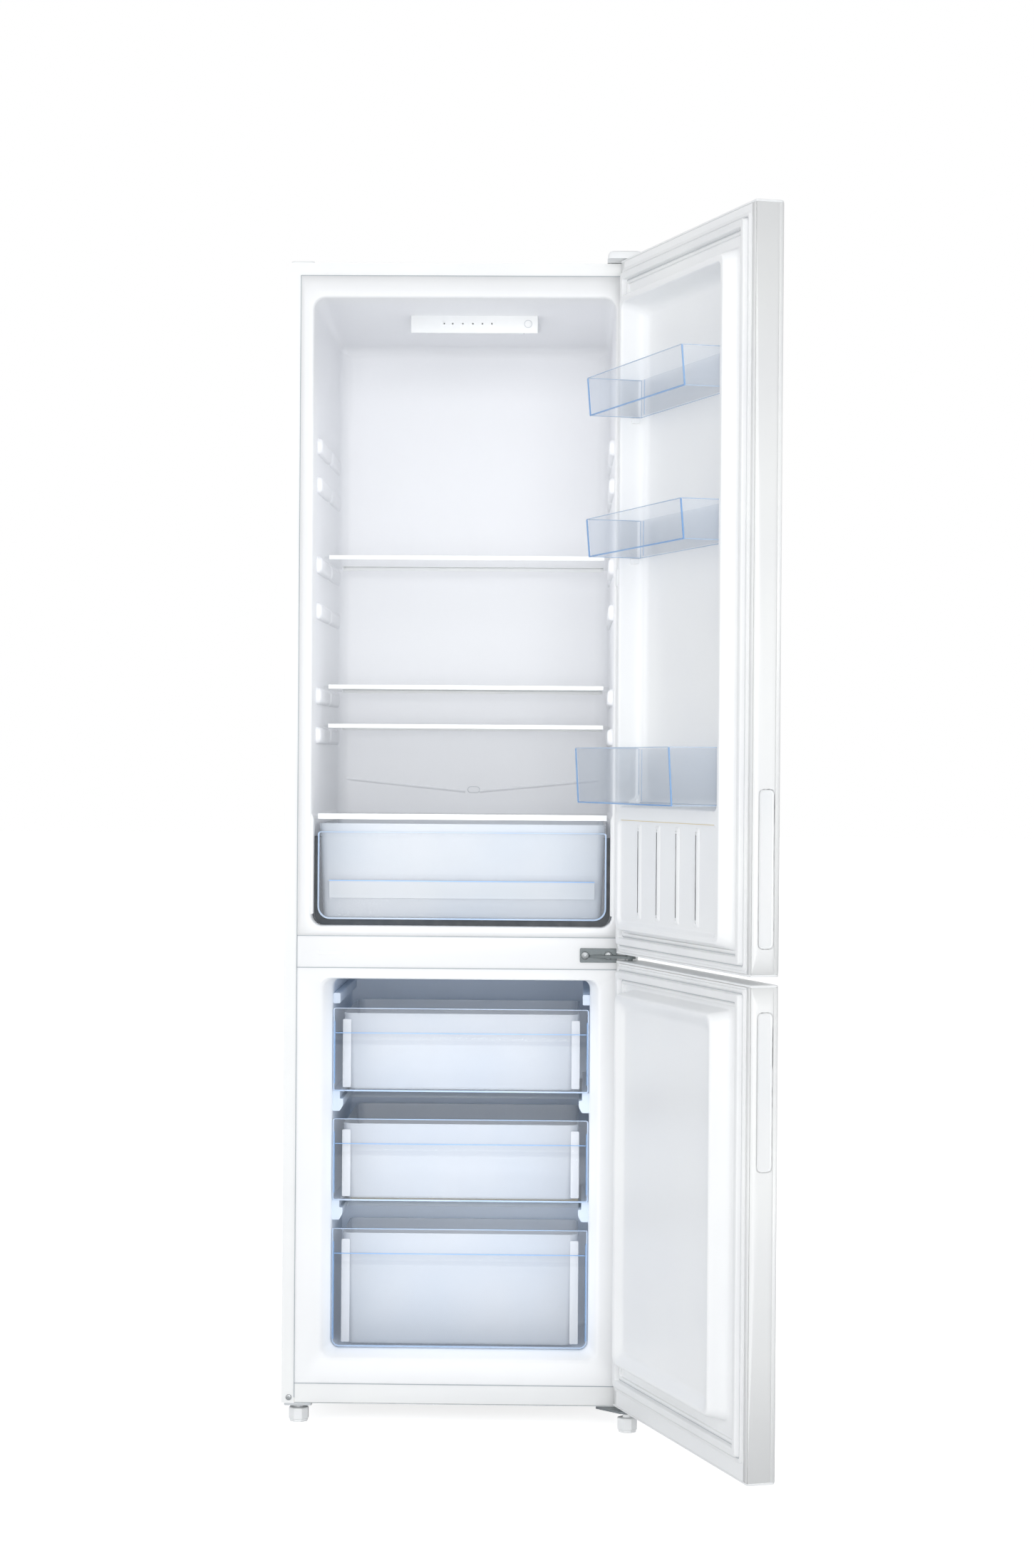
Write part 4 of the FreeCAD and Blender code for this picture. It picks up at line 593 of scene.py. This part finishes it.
def top_covers():
    """The moulded cover over the top hinge and the flat cap on the spare hinge place."""
    low, high = span("top_hinge_cover")
    rows = [
        (level, low[0] + by, high[0] - by, low[1] + by, high[1] - by, corner)
        for level, by, corner in (
            (low[2] + 1, 0, 8), (high[2] - 5, 1, 8), (high[2] - 1.5, 3, 7), (high[2], 6, 6),
        )
    ]
    name = "top_hinge_cover_skin"
    mesh = net(name, stack(rows, "z"), "cabinet")
    piece(name, mesh, "cabinet", "abs", hides=("top_hinge_cover",))
    name = "spare_hinge_cap_skin"
    mesh = block(name, *span("spare_hinge_cap"), "z", "cabinet", 6, 1.5)
    piece(name, mesh, "cabinet", "abs", hides=("spare_hinge_cap",))


def control_box():
    """The ceiling box: a rounded wedge, with a row of plain dots and one ring round its button."""
    low, high = span("control_box")
    rise = 27.0
    slope = rise / (high[1] - low[1])
    outline = [
        (low[1], low[2]), (high[1], low[2] + rise), (high[1], high[2] - 2.5), (low[1], high[2] - 0.5),
    ]
    mesh = prism("control_box_skin", rounded(outline, 2), "x", low[0], high[0], "cabinet")
    piece("control_box_skin", mesh, "cabinet", "abs", bevel=2.0, hides=("control_box",))

    lens_low, lens_high = span("lamp_lens")
    near, far = (low[2] + slope * (y - low[1]) for y in (lens_low[1], lens_high[1]))
    outline = [
        (lens_low[1], near - 1), (lens_high[1], far - 1), (lens_high[1], far + 2), (lens_low[1], near + 2),
    ]
    mesh = prism("lamp_lens_skin", rounded(outline, 1.0), "x", lens_low[0], lens_high[0], "cabinet")
    piece("lamp_lens_skin", mesh, "cabinet", "lens", bevel=1.0, hides=("lamp_lens",))

    height, face = low[2] + 15, low[1] - 0.12
    meshes = [
        turned("dot", (across, height), ((1.1, face), (0.05, face)), "cabinet", 20)
        for across in (-39, -25.5, -9.5, 6.5, 21.5, 36.5)
    ]
    loops = [to_space(np.array([94, height]) + circle(20) * radius, face, "y") for radius in (6.4, 5.4)]
    meshes.append(net("ring", loops, "cabinet", OPEN))
    piece("control_marks", meshes, "cabinet", "print", closed=False)


# ---- Shelves, crisper and drawers -------------------------------------------------------------


def shelves():
    """Glass plates with rounded corners, in white moulded strips at their front and rear edges."""
    reach = 217
    for number in (1, 2, 3):
        body = "shelf_%d" % number
        node_name, name = "glass_shelf_%d" % number, "shelf_glass_%d" % number
        mesh = block(name, *span(node_name), "z", body, 25, 1.0)
        piece(name, mesh, body, "glass", hides=(node_name,))
        for end in ("front", "rear"):
            node_name, name = "shelf_%s_trim_%d" % (end, number), "shelf_%s_strip_%d" % (end, number)
            low, high = span(node_name)
            outer, depth = (low[1], 14) if end == "front" else (high[1], -14)
            foot, top = low[2], high[2]
            outline = rounded([
                (outer, foot), (outer, top), (outer + depth, top), (outer + depth, top - 1),
                (outer + depth / 4, top - 1.4), (outer + depth / 4, foot),
            ], 0.8)
            mesh = prism(name, outline, "x", -reach, reach, body)
            piece(name, mesh, body, "abs", bevel=0.5, hides=(node_name,))


def tray(name, low, high, corner, wall, lean, body, draft=0.0):
    """An open bin of even walls that narrow towards the foot: outside up, over the rim, inside down.

    lean draws the foot in at the low and the high side in depth, draft at both ends across.
    """
    rows = []
    for inset, base in ((0.0, low[2]), (wall, low[2] + wall)):
        level = np.array([base, base + 1, base + 3, (base + high[2]) / 2, high[2] - 0.6, high[2]])
        rolled = np.array([3.0, 1.0, 0.0, 0.0, 0.0, 0.4])
        if inset:
            level, rolled = level[::-1], rolled[::-1] * (1, 0, 0, 0, 0.5, 0.5)
        share = (high[2] - level) / (high[2] - low[2])
        for at, part, more in zip(level, share, rolled):
            by = inset + more
            rows.append((
                at, low[0] + by + draft * part, high[0] - by - draft * part,
                low[1] + by + lean[0] * part, high[1] - by - lean[1] * part, max(corner - by, 1.0),
            ))
    return net(name, stack(rows, "z"), body)


def crisper():
    """Clear bin with a rounded front and a frosted pull band, a dark sheet of painted shadow in the gap round its
    foot, a glass lid.
    """
    body = "crisper_cover"
    low, high = span("crisper_cover_glass")
    outline = [(low[0], low[1]), (high[0], low[1]), (high[0] - 3.5, high[1]), (low[0] + 3.5, high[1])]
    mesh = prism("crisper_lid_glass", rounded(outline, 2), "z", low[2], high[2], body)
    piece("crisper_lid_glass", mesh, body, "glass", bevel=0.6, hides=("crisper_cover_glass",))
    low, high = span("crisper_cover_trim")
    edge, foot, top = low[1], low[2], high[2]
    outline = rounded([
        (edge, foot), (edge, top), (edge + 14, top - 3),
        (edge + 14, top - 4), (edge + 1.6, top - 4), (edge + 1.6, foot),
    ], 0.6)
    mesh = prism("crisper_lid_strip", outline, "x", low[0] + 2, high[0] - 2, body)
    piece("crisper_lid_strip", mesh, body, "abs", bevel=0.5, hides=("crisper_cover_trim",))

    body = "crisper"
    low, high = span("crisper_drawer")
    front, half, floor, rim = low[1] + 5, 223.0, low[2] + 10.3, 912.0
    bin_low, bin_high = (1.5 - half, front + 1, floor + 1), (half - 1.5, high[1], high[2])
    mesh = tray("crisper_bin", bin_low, bin_high, 12, 2.4, (3, 6), body, 6)
    piece("crisper_bin", mesh, body, "bin", hides=("crisper_drawer",))
    plate = [
        to_space(ring(by - half, half - by, floor + by, rim - by, (19 - by, 4, 4, 19 - by)), depth, "y")
        for depth, by in ((front, 1), (front + 1, 0), (front + 2.6, 0))
    ]
    piece("crisper_front", net("crisper_front", plate, body), body, "clear")
    reach = half - 18
    outline = rounded([
        (front + 1, 809.6), (front, 809.6), (front - 4.5, 834), (front - 4.5, 837), (front + 1, 837),
    ], 1.0)
    mesh = prism("crisper_pull", outline, "x", -reach, reach, body)
    piece("crisper_pull", mesh, body, "frosted", bevel=0.6)
    lines = [((-reach, front - 4.6, 836.6), (reach, front - 4.6, 836.6))]
    piece("crisper_pull_edge", bars("crisper_pull_edge", lines, 1.4, body), body, "clear_edge")
    outer = ring(-half, half, floor, rim, (19, 4, 4, 19))
    inner = ring(2.4 - half, half - 2.4, floor + 2.4, rim - 1.2, (17, 3, 3, 17))
    mesh = collar("crisper_edge", outer, inner, front - 0.3, front + 2.9, body)
    piece("crisper_edge", mesh, body, "pale_edge")
    # A dark sheet in the gap round the crisper's foot: painted shadow.
    outer = ring(-228.2, 228.2, low[2] + 0.4, 905, (17, 1, 1, 17))
    inner = ring(0.6 - half, half - 0.6, floor - 0.6, 904, (18, 1, 1, 18))
    mesh = collar("crisper_gap_shadow_sheet", outer, inner, front + 5, front + 12, body)
    piece("crisper_gap_shadow_sheet", mesh, body, "gap")


def drawers():
    """Freezer drawers: a clear front with a finger groove, milky upright flanges and a pale bin behind."""
    face, deep, wall, half = 28.0, 38.0, 2.4, 198.0  # deep is the bottom of the groove, from the face in
    for number, base, top, back in ((1, 509.7, 638.8, 335), (2, 340.3, 467.2, 335), (3, 114.0, 297.2, 205)):
        body = "drawer_%d" % number
        outline = rounded([
            (face, base), (face, top - 55.7), (deep, top - 50), (deep, top - 40.6),
            (face, top - 38.6), (face, top), (face + wall, top), (face + wall, top - 37),
            (deep + wall, top - 39), (deep + wall, top - 51.4), (face + wall, top - 57.5), (face + wall, base),
        ], 1.0)
        name = "freezer_front_%d" % number
        piece(name, prism(name, outline, "x", -half, half, body), body, "clear")
        name = "freezer_bin_%d" % number
        mesh = tray(name, (-183, deep + 4, base + 2), (183, back, top - 9), 14, wall, (0, 7), body, 7)
        piece(name, mesh, body, "bin", hides=("freezer_drawer_%d" % number,))
        meshes = []
        for centre in (-177.5, 177.5):
            low, high = (centre - 6.5, deep + 0.5, base + 5), (centre + 6.5, deep + 3, top - 18)
            meshes.append(block("flange", low, high, "y", body, 2, 0.8))
        name = "freezer_flange_%d" % number
        piece(name, meshes, body, "flange")
        corner = np.array((12, 3, 3, 12) if number == 3 else (4, 4, 4, 4))
        outer = ring(-half, half, base, top, corner)
        inner = ring(2 - half, half - 2, base + 2.2, top - 1.0, np.maximum(corner - 2, 1))
        name = "freezer_edge_%d" % number
        mesh = collar(name, outer, inner, face - 0.3, face + 3, body)
        piece(name, mesh, body, "pale_edge")
        lines = [
            ((across, face - 0.6, base + 12), (across, face - 0.6, top - 20))
            for across in (2.6 - half, half - 2.6)
        ]
        lines.append(((4 - half, face - 0.4, top - 38.6), (half - 4, face - 0.4, top - 38.6)))
        name = "freezer_line_%d" % number
        piece(name, bars(name, lines, 1.2, body), body, "clear_edge")
    meshes = []
    for place in (-124, -62, 0, 62, 124):
        rows = [
            (118.2 + up, place - 19 + by, place + 19 - by, 75 + by, 165 - by, 4)
            for up, by in ((0, 0), (2.0, 0.8), (3.0, 2.2), (3.2, 4))
        ]
        meshes.append(net("pad", stack(rows, "z"), "drawer_3"))
    piece("drawer_floor_pads", meshes, "drawer_3", "frosted")


def freezer_plates():
    """Two glass plates on the rails."""
    for number in (1, 2):
        node_name, name = "freezer_plate_%d" % number, "freezer_glass_%d" % number
        mesh = block(name, *span(node_name), "z", "cabinet", 8, 1.0)
        piece(name, mesh, "cabinet", "glass", hides=(node_name,))


# ---- Doors ------------------------------------------------------------------------------------


def folded(name, path, low, high, body):
    """An open sheet: a path of x and y carried straight up from low to high."""
    points = np.concatenate([to_space(np.asarray(path, float), level, "z") for level in (low, high)])
    index = np.arange(len(points)).reshape(2, -1)
    faces = np.stack([index[0, :-1], index[0, 1:], index[1, 1:], index[1, :-1]], axis=1)
    mesh = bpy.data.meshes.new(name)
    mesh.from_pydata(stand(points, body).tolist(), [], faces.tolist())
    return mesh


def door_case(name):
    """Sheet steel folded round the door: front, sides and narrow return edges; then the end caps."""
    body = name + "_door"
    low, high = span(body + "_skin")
    grip_low, grip_high = span(body + "_grip")
    hem, edge, cap_height = 15, -46, 3.5
    profile = soft(
        [(-SIDE, edge), (-SIDE, DOOR_OUT), (SIDE, DOOR_OUT), (SIDE, DOOR_IN), (SIDE - hem, DOOR_IN)],
        [6, 6, 1.2], 8,
    )
    wrap = folded("wrap", profile, low[2], high[2], body)
    outline = ring(edge, DOOR_IN, low[2], high[2], 0.05)
    hole = ring(grip_low[1], grip_high[1], grip_low[2], grip_high[2], 6)
    loops = [to_space(loop, level, "x") for loop, level in ((outline, -SIDE), (hole, -SIDE), (hole, 2 - SIDE))]
    side_wall = net("side", loops, body, OPEN)
    turn_in = folded("return", [(-SIDE, DOOR_IN), (hem - SIDE, DOOR_IN)], low[2], high[2], body)
    name_case = body + "_case"
    meshes = [wrap, flip(side_wall), flip(turn_in)]
    piece(
        name_case, meshes, body, "coated_steel",
        closed=False, wall=0.8, hides=(body + "_skin",),
    )

    for end in ("top", "bottom"):
        node_name, name_cap = "%s_%s_cap" % (body, end), "%s_%s_end_cap" % (body, end)
        low, high = span(node_name)
        if end == "top":
            low[2] = high[2] - cap_height
        else:
            high[2] = low[2] + cap_height
        loops = []
        for level, by in ((low[2], 0.8), (low[2] + 0.8, 0), (high[2] - 0.8, 0), (high[2], 0.8)):
            plan = ring(low[0] + by, high[0] - by, low[1] + by, high[1] - by, (6 - by, 1, 1, 6 - by))
            loops.append(to_space(plan, level, "z"))
        piece(name_cap, net(name_cap, loops, body), body, "abs", hides=(node_name,))


def door_grip(name):
    """The moulded finger cup in the free edge: a rolled lip, straight walls and a rolled bottom."""
    body = name + "_door"
    low, high = span(body + "_grip")
    cup = 27
    path = soft([(-1.5, 0), (2.2, 0), (3.2, cup), (9, cup)], [2.2, 5], 6)
    rows = [
        (depth - SIDE, low[1] + by, high[1] - by, low[2] + by, high[2] - by, max(6.5 - by, 0.5))
        for by, depth in [(-0.8, 0.6)] + path.tolist()
    ]
    name_cup = body + "_finger_cup"
    mesh = flip(net(name_cup, stack(rows, "x"), body))
    piece(name_cup, mesh, body, "abs", closed=False, hides=(body + "_grip",))


def door_gasket(name):
    """A magnetic seal: two thin lips beside a raised hollow bar, one section carried round the door."""
    body = name + "_door"
    low, high = span(body + "_gasket")
    crest, web, lip = 10.2, 3, 4.5  # heights over the door's inner face
    section = soft(
        [
            (0, 0), (0, 4), (4, lip), (5, web), (7.5, web), (8, crest),
            (18.5, crest), (19, web), (21.5, web), (22.5, lip), (26, 4), (26, 0),
        ],
        [1, 1, 0.5, 0.5, 2, 2, 0.5, 0.5, 1, 1], 4,
    )
    rows = [
        (DOOR_IN + up, low[0] + by, high[0] - by, low[2] + by, high[2] - by, max(7 - by * 0.2, 1))
        for by, up in section
    ]
    name_bar, name_web = body + "_seal", body + "_seal_web"
    mesh = net(name_bar, stack(rows, "y"), body, OPEN)
    piece(name_bar, mesh, body, "seal", hides=(body + "_gasket",))
    # Grey strips at the foot of the grooves between the lips: painted shade.
    meshes = []
    for start in (5.6, 19.6):
        rows = [
            (DOOR_IN + web + 0.3, low[0] + by, high[0] - by, low[2] + by, high[2] - by, 5)
            for by in (start, start + 1.4)
        ]
        meshes.append(net("web", stack(rows, "y"), body, OPEN))
    piece(name_web, meshes, body, "seal_web", closed=False)


def carried(rows):
    """Loops for door rows of (height over the inner face, half, low, high, radius)."""
    loops = []
    for up, half, low, high, radius in rows:
        loops.append(to_space(ring(-half, half, low, high, np.maximum(radius, 0.05)), DOOR_IN + up, "y"))
    return np.array(loops)


def door_path(points, cuts):
    """The same rows with their corners softened, each corner's radii carried along."""
    table = [[*row[:4], *np.broadcast_to(row[4], 4)] for row in points]
    return [(*row[:4], row[4:]) for row in soft(np.array(table, float), cuts, 7)]


def upper_liner():
    """Vacuum-formed inner face: flange, raised ring, deep pan above and a shallow ribbed panel below."""
    body = "upper_door"
    low, high = span("upper_door_liner")
    crest, pan_floor, panel_floor = 24.5, -18, 20  # heights over the door's inner face
    divide = 945  # level of the ridge between pan and panel
    hat = [
        (0, high[0], low[2], high[2], 1), (0, 221, 763, 1730, 14),
        (crest, 211.5, 771, 1722, 14), (crest, 209, 773.5, 1719.5, 12),
    ]
    pan = [
        (crest, 209, divide, 1719.5, (0.1, 12, 12, 0.1)), (crest, 202, divide + 10, 1712, 12),
        (pan_floor, 197, divide + 15, 1706, 16), (pan_floor, 60, 1090, 1580, 4),
    ]
    panel = [
        (crest, 209, 773.5, divide, (12, 0.1, 0.1, 12)), (crest, 202, 779, divide - 8, 12),
        (panel_floor, 197, 784, divide - 13, 9), (panel_floor, 60, 850, 870, 3),
    ]
    meshes = [
        net(name, carried(door_path(rows, cuts)), body, ends)
        for name, rows, cuts, ends in (
            ("hat", hat, [5, 6], OPEN), ("pan", pan, [5, 22], ENDED), ("panel", panel, [3, 4], ENDED),
        )
    ]
    piece(
        "upper_liner_skin", meshes, body, "door_liner",
        closed=False, hides=("upper_door_liner",), angle=50,
    )
    meshes = []
    for place in (-118.5, -39.5, 39.5, 118.5):
        rows = [
            (DOOR_IN + panel_floor + up, place - wide, place + wide, 790 + by, 930 - by, 3)
            for up, wide, by in ((-0.2, 10, 0), (0.7, 8.6, 1), (1.5, 6.4, 3), (2.0, 4, 6), (2.2, 1.5, 10))
        ]
        meshes.append(net("rib", stack(rows, "y"), body))
    piece("panel_ribs", meshes, body, "door_liner", angle=60)
    knob = block("switch_boss", (207, DOOR_IN + 20, 1286), (215.5, DOOR_IN + 26.5, 1314), "z", body, 3, 3)
    piece("switch_boss", knob, body, "abs")
    meshes = []
    for top in (1538.7, 1327.7, 960.7):
        for side in (-1, 1):
            rows = [
                (side * across, DOOR_IN - 4 + by, DOOR_IN + 8 - by, top - 8 + by, top - by * 0.3, 2)
                for across, by in ((202, 0), (194.5, 0), (193.5, 1.0))
            ]
            meshes.append(net("boss", stack(rows, "x"), body))
    piece("rack_bosses", meshes, body, "door_liner")


def lower_liner():
    """Vacuum-formed inner face of the freezer door: a soft raised frame round a lower flat panel."""
    body = "lower_door"
    low, high = span("lower_door_liner")
    crest, floor = 30, 20  # heights over the door's inner face
    rows = door_path(
        [
            (0, high[0], low[2], high[2], 1), (0, 206.5, 112, 680, 16), (crest, 198, 118, 675, 16),
            (crest, 191, 124, 668, 14), (floor, 174.5, 139, 653, 12), (floor, 40, 280, 520, 4),
        ],
        [5, 7, 6, 8],
    )
    mesh = net("lower_liner_skin", carried(rows), body, ENDED)
    piece(
        "lower_liner_skin", mesh, body, "door_liner",
        closed=False, hides=("lower_door_liner",), angle=50,
    )


def racks():
    """Open bins on the upper door in a faint blue tint, their cut edges, rims and end ribs drawn as bars."""
    for node_name in ("top_rack", "middle_rack", "bottle_rack"):
        body = node_name + "_body"
        low, high = span(node_name)
        half, back, out, base, rim = high[0], low[1], high[1], low[2], high[2]
        name = node_name + "_bin"
        mesh = tray(name, low, high, 3.5, 2.2, (0, 5), body)
        piece(name, mesh, body, "tinted", hides=(node_name,))
        near, foot, top = back + 1, out - 5.3, out - 0.8
        cut = [((1 - half, foot, base + 1), (half - 1, foot, base + 1))]
        round_edges = [((1 - half, top, rim - 0.4), (half - 1, top, rim - 0.4))]
        for side in (-1, 1):
            across, inner = side * (half - 1), side * (half - 28)
            cut.append(((across, foot, base + 1), (across, top, rim - 1)))
            round_edges += [
                ((across, near, rim - 0.4), (across, top, rim - 0.4)),
                ((across, near, base + 1), (across, foot, base + 1)),
                ((across, near, base + 1), (across, near, rim - 1)),
                ((inner, back + 6, base + 3), (inner, back + 6, rim - 2)),
            ]
        round_edges.append(((1 - half, near, base + 1), (half - 1, near, base + 1)))
        name = node_name + "_edge"
        piece(name, bars(name, cut, 2.0, body), body, "clear_edge")
        name = node_name + "_rim"
        piece(name, bars(name, round_edges, 1.1, body), body, "pale_edge")


# ---- Room, light and camera -------------------------------------------------------------------


def white_room():
    """A pale floor and a plain white surround that keep the object's soft shadow."""
    reach = 40.0
    mesh = bpy.data.meshes.new("floor")
    corners = [(-reach, -reach, 0), (reach, -reach, 0), (reach, reach, 0), (-reach, reach, 0)]
    mesh.from_pydata(corners, [], [(0, 1, 2, 3)])
    floor = bpy.data.objects.new("studio_floor", mesh)
    bpy.context.scene.collection.objects.link(floor)
    material = bpy.data.materials.new("white_studio_floor")
    tree = emptied(material)
    # The floor glows on camera rays alone, by as much as makes its lit colour white in the picture.
    matt = node(tree, "ShaderNodeBsdfDiffuse", {"Color": linear("#f6f6f6")})
    rays = node(tree, "ShaderNodeLightPath")
    lift = node(tree, "ShaderNodeMath", {"operation": "MULTIPLY", 1: 0.78})
    tree.links.new(rays.outputs["Is Camera Ray"], lift.inputs[0])
    glow = node(tree, "ShaderNodeEmission", {"Color": (1, 1, 1, 1)}, Strength=(lift, "Value"))
    both = node(tree, "ShaderNodeAddShader")
    tree.links.new(matt.outputs[0], both.inputs[0])
    tree.links.new(glow.outputs[0], both.inputs[1])
    node(tree, "ShaderNodeOutputMaterial", Surface=(both, "Shader"))
    mesh.materials.append(material)

    world = bpy.data.worlds.new("white_surround")
    bpy.context.scene.world = world
    tree = emptied(world)
    # White where it is seen, mirrored or looked through, and half as strong where it lights the object.
    rays = node(tree, "ShaderNodeLightPath")
    seen = rays.outputs["Is Camera Ray"]
    for kind in ("Is Glossy Ray", "Is Transmission Ray"):
        either = node(tree, "ShaderNodeMath", {"operation": "MAXIMUM"})
        tree.links.new(seen, either.inputs[0])
        tree.links.new(rays.outputs[kind], either.inputs[1])
        seen = either.outputs[0]
    lit = node(tree, "ShaderNodeBackground", {"Color": linear("#f7f9fc"), "Strength": 0.5})
    shown = node(tree, "ShaderNodeBackground", {"Color": (1, 1, 1, 1), "Strength": 1.0})
    mix = node(tree, "ShaderNodeMixShader")
    for start, end in zip((seen, lit.outputs[0], shown.outputs[0]), mix.inputs):
        tree.links.new(start, end)
    node(tree, "ShaderNodeOutputWorld", Surface=(mix, "Shader"))


def place_in_room(made, right, up, forward, place):
    """Stand a lamp or a camera at a place, looking along forward: both look down their own -z."""
    bpy.context.scene.collection.objects.link(made)
    matrix = np.eye(4)
    matrix[:3] = np.stack([right, up, -forward, place], axis=1)
    made.matrix_world = Matrix(matrix.tolist())


def lamp(name, place, aim, size, watts, colour="#ffffff", shine=True):
    """A soft box at a place, facing another, both in metres, that glossy faces mirror or don't."""
    light = bpy.data.lights.new(name, "AREA")
    light.shape = "RECTANGLE"
    light.size, light.size_y = size
    light.energy = watts
    light.color = linear(colour)[:3]
    made = bpy.data.objects.new(name, light)
    forward = np.array(aim, float) - np.array(place, float)
    forward /= np.linalg.norm(forward)
    right = np.cross(forward, (0, 0, 1))
    right /= np.linalg.norm(right)
    place_in_room(made, right, np.cross(right, forward), forward, place)
    made.visible_camera = False
    made.visible_glossy = shine


def camera():
    """The photograph's view: a 70 mm lens almost straight in front, a touch turned and tilted."""
    data = bpy.data.cameras.new("photo_view")
    data.lens, data.sensor_width, data.sensor_fit = 70.0, 36.0, "AUTO"
    made = bpy.data.objects.new("photo_view", data)
    yaw, pitch, roll = (math.radians(angle) for angle in (1.279, 0.329, 0.402))
    forward = np.array([-math.sin(yaw) * math.cos(pitch), math.cos(yaw) * math.cos(pitch), -math.sin(pitch)])
    level = np.array([math.cos(yaw), math.sin(yaw), 0])
    upright = np.cross(level, forward)
    right = math.cos(roll) * level + math.sin(roll) * upright
    up = math.cos(roll) * upright - math.sin(roll) * level
    eye = [189.165, -4684.763, 1014.418]
    place_in_room(made, right, up, forward, stand(eye, "cabinet"))
    bpy.context.scene.camera = made


camera()
white_room()
lamp("front_box", (0.3, -5.6, 1.5), (0, 0, 0.95), (2.6, 3.2), 97)
lamp("left_box", (-3.4, -2.6, 1.5), (0.2, -0.2, 1.0), (1.6, 2.6), 34)
lamp("right_box", (3.2, -3.6, 1.4), (0.2, -0.2, 1.0), (1.6, 2.6), 14)
lamp("overhead", (0.0, -0.8, 4.2), (0, 0.1, 0.9), (2.6, 2.6), 11)
lamp("fridge_fill", (-0.09, -0.01, 1.18), (-0.09, 0.4, 1.18), (0.4, 0.8), 0.6, shine=False)
lamp("freezer_fill", (-0.09, -0.01, 0.4), (-0.09, 0.4, 0.4), (0.34, 0.5), 0.44, "#f8faff", shine=False)

fridge_liner()
freezer_liner()
side_mouldings()
freezer_rails()
front_covers()
cabinet_edges()
small_screws()
feet()
top_covers()
control_box()
shelves()
crisper()
drawers()
freezer_plates()
for name in ("upper", "lower"):
    door_case(name)
    door_grip(name)
    door_gasket(name)
upper_liner()
lower_liner()
racks()

dress("coated_steel", "cabinet_wrapper", "rear_panel")
dress("foam", "cabinet_foam", "upper_door_foam", "lower_door_foam")
dress("galvanised", "base_pan")
dress("zinc", "top_hinge", "middle_hinge")
dress("dark_zinc", "bottom_hinge")
dress("abs", "control_button", "drain_tube")
dress("black_abs", "left_roller", "right_roller", "terminal_box", "drip_tray")
dress("black_paint", "compressor")
dress("copper", "suction_pipe", "discharge_pipe")

bpy.context.scene.view_settings.view_transform = "Standard"
